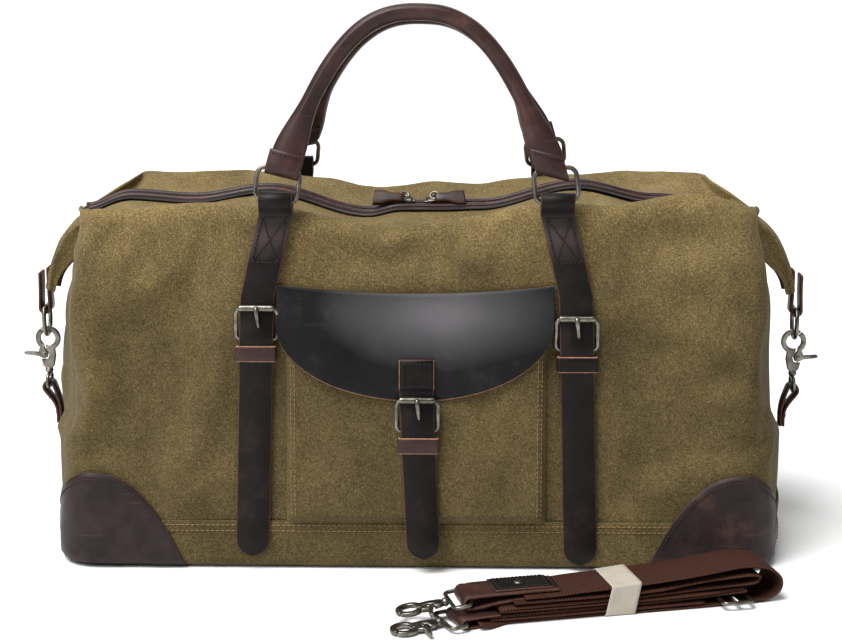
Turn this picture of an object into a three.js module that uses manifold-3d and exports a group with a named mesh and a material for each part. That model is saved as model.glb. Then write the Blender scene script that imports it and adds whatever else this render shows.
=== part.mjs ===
// Canvas and leather duffel bag with its folded shoulder strap beside it.
// Millimetres, +Z up. Origin: centre of the base on the floor. The pocket side faces -Y.
import * as THREE from 'three';
import { mergeVertices } from 'three/addons/utils/BufferGeometryUtils.js';
import Module from 'manifold-3d';

const wasm = await Module();
wasm.setup();

// ---- Driving dimensions ----
const BASE_HALF_LENGTH = 270;
const END_TAPER = 23;
const BASE_HALF_DEPTH = 120;
const DEPTH_TAPER = 25;
const RIDGE_HEIGHT = 275;
const RIDGE_SAG = 13;
const SAG_WIDTH = 75;
const END_BULGE = 18;
const BULGE_HEIGHT = 110;
const CORNER_RADIUS = 28;
const BASE_EDGE_ROUND = 8;
const CANVAS = 2;
const GAP = 0.3;
const BAND_HEIGHT = 36;
const TOP_SEAM = 1;

const ZIP_CENTRE_HEIGHT = 256;
const ZIP_CREST_X = 120;
const ZIP_CREST_HEIGHT = 277;
const ZIP_END_X = 238;
const ZIP_END_HEIGHT = 262;
const ZIP_HALF_WIDTH = 8.7;
const ZIP_THICKNESS = 2.4;

const STRAP_WIDTH = 25;
const STRAP_THICKNESS = 2.6;
const RING_X = 103;
const RING_WIDTH = 35;
const RING_HEIGHT = 28;
const RING_WIRE = 3.6;
const RING_TILT = 6;
const HANDLE_LEAN = { front: 12, back: 25 };
const RING_BAR_OUT = 7.3;
const RING_BAR_UP = 277;
const LOOP_HOLE_RADIUS = 4.4;

const HANDLE_DIAMETER = 13;
const HANDLE_RISE = 114;

const BUCKLE_WIDTH = 34;
const BUCKLE_HEIGHT = 27;
const BUCKLE_BAR = 3.3;
const BUCKLE_TILT = 7.5;
const BUCKLE_LEVEL = { left: 186, right: 179 };
const FLAP_BUCKLE_LEVEL = 119.5;
const TAIL_END = { left: 11, right: 5 };
const FLAP_TAIL_END = 11;

const POCKET_HALF_WIDTH = 97;
const POCKET_TOP = 200;
const POCKET_DEPTH = 7.5;
const FLAP_HALF_WIDTH = 100;
const FLAP_HINGE_UP = 213;
const FLAP_LOW = 129.5;
const FLAP_THICKNESS = 2.5;
const FLAP_OUT = 9.1;

const SIDE_X = 296;
const SIDE_RING_UP = 176;
const SIDE_THROAT_UP = 150;
const HOOK_EYE_UP = 111;

const BUNDLE_ANGLE = 14.5;
const HIGH_HOOK_DIP = 8;
const LOW_HOOK_DIP = 2.5;
const LOW_HOOK_TURN = 10;
const LOW_HOOK_PLACE = [-16, -10, 4.4];
const BUNDLE_POSITION = [45, -218, 0];

const FRONT_SLOPE = Math.atan2(DEPTH_TAPER, RIDGE_HEIGHT);
const radians = THREE.MathUtils.degToRad;
const lerp = THREE.MathUtils.lerp;

// ---- Materials ----
function makeMaterial(color, roughness, metalness = 0) {
  return new THREE.MeshStandardMaterial({ color, roughness, metalness });
}

const canvasCloth = makeMaterial(0x766c44, 0.95);
const strapLeather = makeMaterial(0x302422, 0.5);
const flapLeather = makeMaterial(0x2a292a, 0.35);
const patchLeather = makeMaterial(0x463732, 0.55);
const handleLeather = makeMaterial(0x4b322a, 0.45);
const nickel = makeMaterial(0x8c877d, 0.3, 1);
const zipTape = makeMaterial(0x4a3630, 0.8);
const webbing = makeMaterial(0x58372a, 0.9);
const liningCloth = makeMaterial(0x3a3328, 0.9);
const board = makeMaterial(0x6a6258, 0.8);

// ---- Scene graph and solid helpers ----
const bag = new THREE.Group();

function addMesh(name, geometry, material, parent = bag) {
  const mesh = new THREE.Mesh(geometry, material);
  mesh.name = name;
  parent.add(mesh);
  return mesh;
}

function makeGroup(parent, position = [0, 0, 0], rotation = [0, 0, 0]) {
  const group = new THREE.Group();
  group.position.set(...position);
  group.rotation.set(...rotation);
  parent.add(group);
  return group;
}

// A closed mesh with shared vertices becomes a solid that can be cut and joined.
function toSolid(geometry) {
  const bare = geometry.clone();
  for (const attribute of ['normal', 'uv']) bare.deleteAttribute(attribute);
  const merged = mergeVertices(bare, 1e-4);
  const vertProperties = new Float32Array(merged.attributes.position.array);
  const triVerts = new Uint32Array(merged.index.array);
  return new wasm.Manifold(new wasm.Mesh({ numProp: 3, vertProperties, triVerts }));
}

function toGeometry(solid) {
  const mesh = solid.getMesh();
  const geometry = new THREE.BufferGeometry();
  geometry.setAttribute('position', new THREE.BufferAttribute(mesh.vertProperties, 3));
  geometry.setIndex(new THREE.BufferAttribute(mesh.triVerts, 1));
  geometry.computeVertexNormals();
  return geometry;
}

function join(...geometries) {
  return toGeometry(geometries.map(toSolid).reduce((sum, next) => sum.add(next)));
}

function cut(geometry, ...tools) {
  return toGeometry(tools.map(toSolid).reduce((rest, tool) => rest.subtract(tool), toSolid(geometry)));
}

function warp(geometry, move) {
  const position = geometry.attributes.position;
  const point = new THREE.Vector3();
  for (let index = 0; index < position.count; index += 1) {
    point.fromBufferAttribute(position, index);
    move(point);
    position.setXYZ(index, point.x, point.y, point.z);
  }
  return geometry;
}

function boxBetween(low, high) {
  const size = high.map((value, axis) => value - low[axis]);
  const box = new THREE.BoxGeometry(...size);
  return box.translate(...high.map((value, axis) => (value + low[axis]) / 2));
}

// A curved sheet: at(u, v, side) gives the point, u and v from 0 to 1, side 0 inside and 1 outside.
function sheet(uSteps, vSteps, at) {
  const box = new THREE.BoxGeometry(1, 1, 1, uSteps, vSteps, 1);
  return warp(box, (point) => point.set(...at(point.x + 0.5, point.y + 0.5, point.z + 0.5)));
}

function shapeOf(points, hole = null) {
  const shape = new THREE.Shape(points.map(([x, y]) => new THREE.Vector2(x, y)));
  if (hole) shape.holes.push(new THREE.Path(hole.map(([x, y]) => new THREE.Vector2(x, y))));
  return shape;
}

function extrude(shape, depth) {
  const geometry = new THREE.ExtrudeGeometry(shape, { depth, bevelEnabled: false, steps: 1 });
  return geometry.translate(0, 0, -depth / 2);
}

// Turns an extrusion whose outline was drawn as (out, up) so that it runs across X.
function acrossX(geometry) {
  return warp(geometry, (point) => point.set(-point.z, -point.x, point.y));
}

// Turns an extrusion whose outline was drawn as (x, up) so that it runs across Y.
function acrossY(geometry) {
  return warp(geometry, (point) => point.set(point.x, -point.z, point.y));
}

function arc(centre, radius, from, to, steps) {
  return Array.from({ length: steps + 1 }, (_, index) => {
    const angle = radians(lerp(from, to, index / steps));
    return [centre[0] + radius * Math.cos(angle), centre[1] + radius * Math.sin(angle)];
  });
}

function roundedRectangle(width, height, radius, steps = 3) {
  const [x, y] = [width / 2 - radius, height / 2 - radius];
  return [
    ...arc([x, y], radius, 0, 90, steps),
    ...arc([-x, y], radius, 90, 180, steps),
    ...arc([-x, -y], radius, 180, 270, steps),
    ...arc([x, -y], radius, 270, 360, steps),
  ];
}

// The outline of a strip of the given thickness along a line of (out, up) points.
function stripOutline(line, thickness) {
  const points = line.map(([x, y]) => new THREE.Vector2(x, y));
  const sides = [[], []];
  points.forEach((point, index) => {
    const before = points[Math.max(index - 1, 0)];
    const after = points[Math.min(index + 1, points.length - 1)];
    const entry = point.clone().sub(before).normalize();
    const exit = after.clone().sub(point).normalize();
    if (index === 0) entry.copy(exit);
    if (index === points.length - 1) exit.copy(entry);
    const along = entry.clone().add(exit).normalize();
    const reach = thickness / 2 / Math.max(along.dot(entry), 0.5);
    sides[0].push([point.x - along.y * reach, point.y + along.x * reach]);
    sides[1].unshift([point.x + along.y * reach, point.y - along.x * reach]);
  });
  return [...sides[0], ...sides[1]];
}

function strip(line, thickness, width) {
  return acrossX(extrude(shapeOf(stripOutline(line, thickness)), width));
}

// ---- Outer form of the bag ----
function halfLength(up) {
  return BASE_HALF_LENGTH - END_TAPER * (up / RIDGE_HEIGHT) ** 2.2;
}

function halfDepth(up) {
  return BASE_HALF_DEPTH - DEPTH_TAPER * (up / RIDGE_HEIGHT);
}

function endBulge(up) {
  const reach = (up - BULGE_HEIGHT) / (RIDGE_HEIGHT - BULGE_HEIGHT);
  return END_BULGE * Math.max(0, 1 - reach ** 2);
}

function ridgeHeight(x) {
  return RIDGE_HEIGHT - RIDGE_SAG * Math.exp(-((x / SAG_WIDTH) ** 2));
}

function zipHeight(x) {
  const distance = Math.abs(x);
  if (distance < ZIP_CREST_X) return lerp(ZIP_CENTRE_HEIGHT, ZIP_CREST_HEIGHT, distance / ZIP_CREST_X);
  return lerp(ZIP_CREST_HEIGHT, ZIP_END_HEIGHT, (distance - ZIP_CREST_X) / (ZIP_END_X - ZIP_CREST_X));
}

function topHeight(x, y) {
  const part = (Math.abs(y) - ZIP_HALF_WIDTH) / (halfDepth(RIDGE_HEIGHT) - ZIP_HALF_WIDTH);
  return lerp(zipHeight(x), ridgeHeight(x), Math.min(Math.max(part, 0), 1));
}

// A point on one end: turn runs from -1 at the front face to +1 at the back face.
function endPoint(turn, up, inset) {
  const radius = CORNER_RADIUS - inset;
  const length = halfLength(up) - inset;
  const depth = halfDepth(up) - inset;
  const flat = 0.5;
  const sign = Math.sign(turn);
  if (Math.abs(turn) <= flat) {
    const y = (turn / flat) * (depth - radius);
    return [length + endBulge(up) * (1 - (y / (depth - radius)) ** 2), y];
  }
  const angle = ((Math.abs(turn) - flat) / (1 - flat)) * (Math.PI / 2);
  const x = length - radius + radius * Math.cos(angle);
  return [x, sign * (depth - radius + radius * Math.sin(angle))];
}

// ---- Body panels ----
const ARC_STEPS = 3;
const END_STEPS = 4 * ARC_STEPS;

// One closed ring round the bag, counter-clockwise seen from above.
function sectionRing(up, inset) {
  const turns = Array.from({ length: END_STEPS + 1 }, (_, index) => lerp(-1, 1, index / END_STEPS));
  const right = turns.map((turn) => endPoint(turn, up, inset));
  return [...right, ...right.map(([x, y]) => [-x, -y])];
}

// A closed solid through rings at the given [height, inset] levels.
function loft(levels) {
  const rings = levels.map(([up, inset]) => sectionRing(up, inset));
  const sides = rings[0].length;
  const last = levels.length - 1;
  return warp(new THREE.CylinderGeometry(1, 1, 1, sides, last), (point) => {
    const level = Math.round((point.y + 0.5) * last);
    if (Math.hypot(point.x, point.z) < 0.5) {
      point.set(0, 0, levels[level][0]);
      return;
    }
    const turn = Math.atan2(point.x, point.z) / (2 * Math.PI) + 1;
    const [x, y] = rings[level][Math.round(turn * sides) % sides];
    point.set(x, y, levels[level][0]);
  });
}

function facePanel(facing) {
  return sheet(16, 5, (u, v, side) => {
    const reach = lerp(-1, 1, u);
    const top = ridgeHeight(reach * (halfLength(RIDGE_HEIGHT) - CORNER_RADIUS)) - CANVAS - TOP_SEAM;
    const up = lerp(BAND_HEIGHT + GAP, top, v);
    const x = reach * (halfLength(up) - CORNER_RADIUS - GAP);
    const y = halfDepth(up) - (1 - side) * CANVAS;
    return [-facing * x, facing * y, up];
  });
}

function endPanel(side) {
  return sheet(END_STEPS, 6, (u, v, outer) => {
    const turn = lerp(-1, 1, u);
    const edge = endPoint(turn, RIDGE_HEIGHT, 0);
    const top = topHeight(edge[0], edge[1]) - CANVAS - TOP_SEAM;
    const up = lerp(BAND_HEIGHT + GAP, top, v);
    const [x, y] = endPoint(turn, up, (1 - outer) * CANVAS);
    return [side * x, side * y, up];
  });
}

function topPanel(facing) {
  const [near, far] = [ZIP_HALF_WIDTH + 2 * GAP, halfDepth(RIDGE_HEIGHT)];
  return sheet(16, 3, (u, v, side) => {
    const depth = facing < 0 ? lerp(far, near, v) : lerp(near, far, v);
    const intoCorner = Math.max(0, depth - (far - CORNER_RADIUS)) / CORNER_RADIUS;
    const cornerCut = CORNER_RADIUS * (1 - Math.sqrt(1 - intoCorner ** 2));
    const x = lerp(-1, 1, u) * (halfLength(RIDGE_HEIGHT) - cornerCut);
    return [x, facing * depth, topHeight(x, depth) - (1 - side) * CANVAS];
  });
}

function basePanel() {
  const outer = loft([[0, BASE_EDGE_ROUND], [3, 3.2], [BASE_EDGE_ROUND, 0], [BAND_HEIGHT, 0]]);
  const inner = loft([[CANVAS, 9.5], [4.5, 4.5], [9, CANVAS], [BAND_HEIGHT + 1, CANVAS]]);
  return cut(outer, inner);
}

function liningBag() {
  const rise = [12, 60, 110, 160, 205, 232];
  const outer = loft([[5.4, 9], ...rise.map((up) => [up, 4])]);
  const inner = loft([[6.2, 10], ...rise.map((up) => [up + 0.8, 4.9])]);
  return cut(outer, inner);
}

function zipChain() {
  const line = [
    [-ZIP_END_X, ZIP_END_HEIGHT], [-ZIP_CREST_X, ZIP_CREST_HEIGHT], [0, ZIP_CENTRE_HEIGHT],
    [ZIP_CREST_X, ZIP_CREST_HEIGHT], [ZIP_END_X, ZIP_END_HEIGHT],
  ];
  return acrossY(extrude(shapeOf(stripOutline(line, ZIP_THICKNESS)), 2 * ZIP_HALF_WIDTH));
}

// ---- Corner patches ----
const PATCH_FACE_LENGTH = 70;
const PATCH_END_LENGTH = 36;
const PATCH_PEAK = 73;
const PATCH_THICKNESS = 1.6;
const PATCH_LIFT = 0.8;
const PATCH_FACE_STEPS = 5;
const PATCH_STEPS = PATCH_FACE_STEPS + ARC_STEPS + 3;

function patchTop(along) {
  const past = along - 6;
  const fall = past < 0 ? (-past / 76) ** 2.4 : (past / 74) ** 1.4;
  return Math.max(PATCH_PEAK * (1 - fall), BASE_EDGE_ROUND + 4);
}

function cornerPatch(side, facing) {
  const mirrored = side * facing > 0;
  const arcLength = CORNER_RADIUS * Math.PI / 2;
  return sheet(PATCH_STEPS, 4, (u, v, outer) => {
    const step = Math.round((mirrored ? 1 - u : u) * PATCH_STEPS) - PATCH_FACE_STEPS;
    const lift = -PATCH_LIFT - outer * PATCH_THICKNESS;
    const face = Math.min(step, 0) / PATCH_FACE_STEPS;
    const end = Math.max(step - ARC_STEPS, 0) / 3;
    const round = Math.min(Math.max(step, 0), ARC_STEPS) / ARC_STEPS;
    const along = face * PATCH_FACE_LENGTH + round * arcLength + end * PATCH_END_LENGTH;
    const top = patchTop(along);
    const up = [0, 3, BASE_EDGE_ROUND, (BASE_EDGE_ROUND + top) / 2, top][Math.round(v * 4)];
    const tuck = BASE_EDGE_ROUND * Math.max(0, 1 - up / BASE_EDGE_ROUND) ** 2;
    const turn = -1 + round * 0.5 + end * 0.25;
    const [x, y] = endPoint(turn, up, lift + tuck);
    return [side * (x + face * PATCH_FACE_LENGTH), -facing * y, up];
  });
}

// ---- Ears: the folded top ends, each with a leather tab for its ring ----
const EAR_THICKNESS = 3;

function ear(side) {
  const line = [[255.8, 261], [268, 257], [282, 245], [291, 229], [296, 208], [296, 191]];
  const outline = stripOutline(line.map(([x, up]) => [side * x, up]), EAR_THICKNESS);
  const wide = acrossY(extrude(shapeOf(outline), 66));
  return warp(wide, (point) => {
    const fall = Math.max(0, (262 - point.z) / 71);
    point.y *= lerp(1, 0.42, Math.min(fall, 1));
  });
}

function buildBody() {
  addMesh('front_panel', facePanel(-1), canvasCloth);
  addMesh('back_panel', facePanel(1), canvasCloth);
  addMesh('base_panel', basePanel(), canvasCloth);
  addMesh('top_panel_front', topPanel(-1), canvasCloth);
  addMesh('top_panel_back', topPanel(1), canvasCloth);
  addMesh('zipper_chain', zipChain(), zipTape);
  addMesh('lining', liningBag(), liningCloth);
  addMesh('base_board', boxBetween([-235, -90, 2.3], [235, 90, 4.8]), board);
  for (const [name, side] of [['left', -1], ['right', 1]]) {
    addMesh(`end_panel_${name}`, endPanel(side), canvasCloth);
    addMesh(`corner_patch_front_${name}`, cornerPatch(side, -1), patchLeather);
    addMesh(`corner_patch_back_${name}`, cornerPatch(side, 1), patchLeather);
    addMesh(`ear_${name}`, ear(side), canvasCloth);
  }
}
// ---- Face frame: local -Y points out of the sloping face, local Z runs up it ----
function makeFace(half) {
  return makeGroup(half, [0, -BASE_HALF_DEPTH, 0], [-FRONT_SLOPE, 0, 0]);
}

function trim(geometry, tool) {
  return toGeometry(toSolid(geometry).intersect(toSolid(tool)));
}

// Turns an extrusion whose outline was drawn as (x, out) so that it runs up the face.
function upFace(geometry) {
  return warp(geometry, (point) => point.set(point.x, -point.y, -point.z));
}

function alongTable(table, value) {
  const last = table.length - 1;
  const index = Math.max(1, table.findIndex(([key], at) => value <= key || at === last));
  const [low, high] = [table[index - 1], table[index]];
  const part = Math.min(Math.max((value - low[0]) / (high[0] - low[0]), 0), 1);
  return lerp(low[1], high[1], part);
}

// Distance of a side strap's centre line from the middle of the bag, by height.
const STRAP_LINE = [[11, 122.5], [206, 117.5], [232, 111.5], [268, RING_X], [300, RING_X]];

function roundTip(low) {
  const radius = STRAP_WIDTH / 2;
  const reach = radius + 1;
  const outline = [[-reach, low + radius], ...arc([0, low + radius], radius, 180, 360, 8),
    [reach, low + radius], [reach, 400], [-reach, 400]];
  return acrossY(extrude(shapeOf(outline), 80));
}

// The strap's way through a buckle: behind the top bar, over the bottom bar, into the keeper.
function buckleRun(level, base) {
  return [[1.75, level + 8], [5.6, level - 8.5], [5.5, level - 13.5], [4.1, level - 17.5],
    [4.1, level - 28]].map(([out, up]) => [out + base, up]);
}

function prongSlot(level) {
  return boxBetween([-2.3, -40, level + 6.5], [2.3, 10, level + 17]);
}

function loopTop() {
  const centre = [RING_BAR_OUT, RING_BAR_UP];
  const bend = LOOP_HOLE_RADIUS + STRAP_THICKNESS / 2;
  return [[1.6, 236], [1.6, 268], ...arc(centre, bend, 200, -35, 8), [4.5, 263], [4.5, 232], [1.75, 225]];
}

function leanStrap(geometry, side) {
  return warp(geometry, (point) => { point.x += side * alongTable(STRAP_LINE, point.z); });
}

function sideStrap(side, level, tailEnd) {
  const line = [...loopTop(), ...buckleRun(level, 0), [1.75, level - 38], [1.75, tailEnd]];
  const band = cut(strip(line, STRAP_THICKNESS, STRAP_WIDTH), prongSlot(level));
  return leanStrap(trim(band, roundTip(tailEnd)), side);
}

function backStrap(side) {
  const line = [...loopTop(), [1.75, 190], [1.75, BAND_HEIGHT]];
  return leanStrap(strip(line, STRAP_THICKNESS, STRAP_WIDTH), side);
}

function plateRing(width, height, bar, thickness, corner = 4) {
  const outer = roundedRectangle(width, height, corner);
  const inner = roundedRectangle(width - 2 * bar, height - 2 * bar, 1.5, 1);
  return acrossY(extrude(shapeOf(outer, inner), thickness));
}

function buckleFrame() {
  return plateRing(BUCKLE_WIDTH, BUCKLE_HEIGHT, BUCKLE_BAR, 3.2).rotateX(radians(BUCKLE_TILT));
}

// Origin at the top bar's centre.
function buckleProng() {
  const ring = shapeOf(arc([0, 0], 4.2, 0, 330, 11), arc([0, 0], 2.8, 0, 330, 11));
  const needle = strip([[3.4, 0], [2.8, -7], [1.8, -15]], 1.6, 2.6);
  return join(acrossX(extrude(ring, 2.6)), needle);
}

function keeperBand() {
  const outer = [[-15, 0.3], [15, 0.3], [15, 7.9], [-15, 7.9]];
  const inner = [[-13.2, 1.8], [13.2, 1.8], [13.2, 6.4], [-13.2, 6.4]];
  return upFace(extrude(shapeOf(outer, inner), 12));
}

function placeBuckle(face, prefix, suffix, x, base, level) {
  const arm = (BUCKLE_HEIGHT - BUCKLE_BAR) / 2;
  const tilt = radians(BUCKLE_TILT);
  const middle = 3.65 + base;
  const frame = addMesh(`${prefix}buckle_frame${suffix}`, buckleFrame(), nickel, face);
  frame.position.set(x, -middle, level);
  const prong = addMesh(`${prefix}buckle_prong${suffix}`, buckleProng(), nickel, face);
  prong.position.set(x, -middle - arm * Math.sin(tilt), level + arm * Math.cos(tilt));
}

function placeKeeper(face, name, x, base, level) {
  addMesh(name, keeperBand(), handleLeather, face).position.set(x, -base, level);
}

// ---- Pocket and flap ----
// A block that narrows from its back to its front.
function pocketBlock([wide, narrow], [lowBack, lowFront], high, [back, front]) {
  return warp(new THREE.BoxGeometry(2, 1, 1), (point) => {
    const atFront = point.y < 0;
    const low = atFront ? lowFront : lowBack;
    point.x *= atFront ? narrow : wide;
    point.z = point.z < 0 ? low : high;
    point.y = atFront ? -front : -back;
  });
}

function pocketPanel() {
  const wide = POCKET_HALF_WIDTH;
  const low = BAND_HEIGHT + 1;
  const outer = pocketBlock([wide, wide - 6], [low, low + 5], POCKET_TOP, [GAP, POCKET_DEPTH]);
  const inner = pocketBlock([wide - 1.8, wide - 7.8], [low + 1.8, low + 6.8], POCKET_TOP + 1,
    [-1, POCKET_DEPTH - 1.6]);
  return cut(outer, inner);
}

function pocketFlap() {
  const line = [[1.55, FLAP_HINGE_UP], [FLAP_OUT, 205], [FLAP_OUT, FLAP_LOW - 2]];
  const curve = arc([0, 0], 1, 180, 360, 24).map(([x, up]) => [x * 101, FLAP_LOW + 58 * (1 + up)]);
  const outline = acrossY(extrude(shapeOf([...curve, [101, 230], [-101, 230]]), 80));
  return trim(strip(line, FLAP_THICKNESS, 2 * FLAP_HALF_WIDTH), outline);
}

const FLAP_BASE = FLAP_OUT + FLAP_THICKNESS / 2 - 0.15;

function flapStrapX(up) {
  return 0.4 + Math.max(0, 131 - up) * 0.045;
}

function flapStrap() {
  const line = [[1.75 + FLAP_BASE, 158], ...buckleRun(FLAP_BUCKLE_LEVEL, FLAP_BASE),
    [9.5, FLAP_BUCKLE_LEVEL - 44], [9.5, FLAP_TAIL_END]];
  const band = cut(strip(line, STRAP_THICKNESS, STRAP_WIDTH), prongSlot(FLAP_BUCKLE_LEVEL));
  return warp(trim(band, roundTip(FLAP_TAIL_END)), (point) => { point.x += flapStrapX(point.z); });
}

function buildPocket(face) {
  addMesh('pocket_panel', pocketPanel(), canvasCloth, face);
  addMesh('pocket_flap', pocketFlap(), flapLeather, face);
  addMesh('flap_strap', flapStrap(), strapLeather, face);
  placeBuckle(face, 'flap_', '', flapStrapX(FLAP_BUCKLE_LEVEL), FLAP_BASE, FLAP_BUCKLE_LEVEL);
  placeKeeper(face, 'flap_keeper', flapStrapX(97), FLAP_BASE, FLAP_BUCKLE_LEVEL - 22);
}

// ---- Rings and handles ----
const RING_REACH = RING_HEIGHT - RING_WIRE;
const HANDLE_FOOT_X = RING_X - RING_REACH * Math.sin(radians(RING_TILT));
const HANDLE_FOOT_UP = RING_REACH * Math.cos(radians(RING_TILT));
const HANDLE_TAB_LENGTH = 28;

function handleRing() {
  return plateRing(RING_WIDTH, RING_HEIGHT, RING_WIRE, RING_WIRE).translate(0, 0, RING_REACH / 2);
}

function handleTab(side) {
  const outside = LOOP_HOLE_RADIUS + STRAP_THICKNESS;
  const outline = [...arc([0, 0], outside, 180, 360, 8), [5.5, HANDLE_TAB_LENGTH], [-5.5, HANDLE_TAB_LENGTH]];
  const hole = arc([0, 0], LOOP_HOLE_RADIUS, 0, 330, 11);
  const tab = acrossX(extrude(shapeOf(outline, hole), STRAP_WIDTH));
  return tab.rotateY(radians(-side * RING_TILT)).translate(side * HANDLE_FOOT_X, 0, 0);
}

function handleTube() {
  const reach = 0.93;
  const points = Array.from({ length: 15 }, (_, index) => {
    const part = Math.sin(lerp(-1, 1, index / 14) * Math.PI / 2) * reach;
    const rise = HANDLE_RISE * (1 - Math.abs(part) ** 2.5);
    return new THREE.Vector3(HANDLE_FOOT_X * part, 0, rise);
  });
  const round = shapeOf(arc([0, 0], HANDLE_DIAMETER / 2, 0, 324, 9));
  return new THREE.ExtrudeGeometry(round, { steps: 22, extrudePath: new THREE.CatmullRomCurve3(points) });
}

function buildHandle(half, place, turned) {
  const out = RING_BAR_OUT * Math.cos(FRONT_SLOPE) - RING_BAR_UP * Math.sin(FRONT_SLOPE);
  const up = RING_BAR_UP * Math.cos(FRONT_SLOPE) + RING_BAR_OUT * Math.sin(FRONT_SLOPE);
  const lean = makeGroup(half, [0, -BASE_HALF_DEPTH - out, up], [radians(-HANDLE_LEAN[place]), 0, 0]);
  for (const side of [-1, 1]) {
    const name = side * turned < 0 ? 'left' : 'right';
    const ring = addMesh(`${place}_ring_${name}`, handleRing(), nickel, lean);
    ring.position.x = side * RING_X;
    ring.rotation.y = radians(-side * RING_TILT);
  }
  const handle = join(handleTube(), handleTab(-1), handleTab(1));
  addMesh(`${place}_handle`, handle, handleLeather, lean).position.z = HANDLE_FOOT_UP;
}

function buildFront() {
  const face = makeFace(bag);
  for (const [name, side] of [['left', -1], ['right', 1]]) {
    const level = BUCKLE_LEVEL[name];
    const centre = (up) => side * alongTable(STRAP_LINE, up);
    addMesh(`strap_${name}`, sideStrap(side, level, TAIL_END[name]), strapLeather, face);
    placeBuckle(face, '', `_${name}`, centre(level), 0, level);
    placeKeeper(face, `keeper_${name}`, centre(level - 22), 0, level - 22);
  }
  buildPocket(face);
  buildHandle(bag, 'front', 1);
}

function buildBack() {
  const half = makeGroup(bag, [0, 0, 0], [0, 0, Math.PI]);
  const face = makeFace(half);
  addMesh('back_strap_left', backStrap(1), strapLeather, face);
  addMesh('back_strap_right', backStrap(-1), strapLeather, face);
  buildHandle(half, 'back', -1);
}

// ---- Zip sliders and pulls ----
const ZIP_SLOPE = Math.atan2(ZIP_CREST_HEIGHT - ZIP_CENTRE_HEIGHT, ZIP_CREST_X);
const SLIDER_TOP = 4.6;
const PULL_PIN = [10.2, SLIDER_TOP + 1.25];

function zipSlider() {
  const outline = shapeOf([[4.2, -3.2], [14, -4.5], [16.2, -3], [16.2, 3], [14, 4.5], [4.2, 3.2]]);
  const bottom = ZIP_THICKNESS / 2 + GAP;
  const height = SLIDER_TOP - bottom;
  const body = extrude(outline, height).translate(0, 0, bottom + height / 2);
  const bridge = shapeOf([...arc([0, -0.2], 4, 0, 180, 8), ...arc([0, -0.2], 2.5, 180, 0, 8)]);
  return join(body, acrossY(extrude(bridge, 1.6)).translate(PULL_PIN[0], 0, SLIDER_TOP));
}

// Origin at its pin, lying outward along +X.
function zipPull() {
  const outer = [[-0.7, -4], ...arc([23, 0], 4, -90, 90, 6), [-0.7, 4]];
  const hole = [[0.7, -1.4], [6.2, -1.4], [6.2, 1.4], [0.7, 1.4]];
  return extrude(shapeOf(outer, hole), 1.4);
}

function buildZipSliders() {
  for (const [name, turn] of [['left', Math.PI], ['right', 0]]) {
    const half = makeGroup(bag, [0, 0, ZIP_CENTRE_HEIGHT], [0, 0, turn]);
    const chord = makeGroup(half, [0, 0, 0], [0, -ZIP_SLOPE, 0]);
    addMesh(`zip_slider_${name}`, zipSlider(), nickel, chord);
    const pull = addMesh(`zip_pull_${name}`, zipPull(), strapLeather, chord);
    pull.position.set(PULL_PIN[0], 0, PULL_PIN[1]);
  }
}

// ---- Trigger snap hooks: origin at the throat's centre, lever towards +X, eye below ----
const HOOK_THICKNESS = 3.5;
const THROAT_OUTER = 10;
const THROAT_INNER = 5.8;
const GATE_PIN = [3.5, -13];
const EYE_BAR = 3;
const SIDE_EYE = { width: 20, height: 13, turn: Math.PI / 2 };
const SHOULDER_EYE = { width: 36, height: 15, turn: 0 };
const NECK_LOW = -28;

function hookPlate(outline, hole = null) {
  return acrossY(extrude(shapeOf(outline, hole), HOOK_THICKNESS));
}

function hookEye({ width, height, turn }) {
  const eye = plateRing(width, height, EYE_BAR, EYE_BAR, 5).rotateZ(turn);
  return eye.translate(0, 0, NECK_LOW - height / 2 + 0.5);
}

function snapHook(eye) {
  const ring = hookPlate(arc([0, 0], THROAT_OUTER, 0, 345, 23), arc([0, 0], THROAT_INNER, 0, 340, 17));
  const shank = hookPlate([[-7, -6], [-6, -14], [-4, -24], [4, -24], [6, -14], [7, -6.5]]);
  const neck = boxBetween([-1.8, -1.7, NECK_LOW - 0.5], [1.8, 1.7, -23]);
  const gateRoom = acrossY(extrude(shapeOf([[0, 0], [16.3, 25.1], [30, 0], [30, -17.2], [0.6, -17.2],
    [-0.8, -13], [2, -8.5]]), 10));
  return join(cut(join(ring, shank), gateRoom, hookPlate(arc([0, 0], THROAT_INNER, 0, 340, 17))),
    neck, hookEye(eye));
}

// Origin at its pin.
function hookGate() {
  const jaw = [...arc([0, 0], THROAT_OUTER, -52, 52, 6), ...arc([0, 0], THROAT_INNER, 52, -52, 6)];
  const arm = [[3.57, -4.57], [2.6, -8.6], [0.6, -12], [3.5, -16], [7, -13], [6.16, -7.88]];
  const lever = [[4, -15.5], [4, -11.5], [19, -10.8], [19.8, -12], [19, -13.4]];
  const hub = arc(GATE_PIN, 3.6, 0, 330, 11);
  const gate = join(...[jaw, arm, lever, hub].map((outline) => hookPlate(outline)));
  return gate.translate(-GATE_PIN[0], 0, -GATE_PIN[1]);
}

function placeHook(parent, prefix, suffix, eye) {
  addMesh(`${prefix}_hook_${suffix}`, snapHook(eye), nickel, parent);
  const gate = addMesh(`${prefix}_gate_${suffix}`, hookGate(), nickel, parent);
  gate.position.set(GATE_PIN[0], 0, GATE_PIN[1]);
}

// ---- End hardware: tab and ring on the ear, hook between the ring and an anchor ----
function strapLoop(line, thickness, width) {
  return acrossY(extrude(shapeOf(stripOutline(line, thickness)), width));
}

function earTab() {
  const line = [[SIDE_X + 2.9, 200], [SIDE_X + 2.9, 190], ...arc([SIDE_X, SIDE_RING_UP], 3.9, 0, -180, 8),
    [SIDE_X - 2.9, 190], [SIDE_X - 2.9, 200]];
  return strapLoop(line, 2, 18);
}

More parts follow.
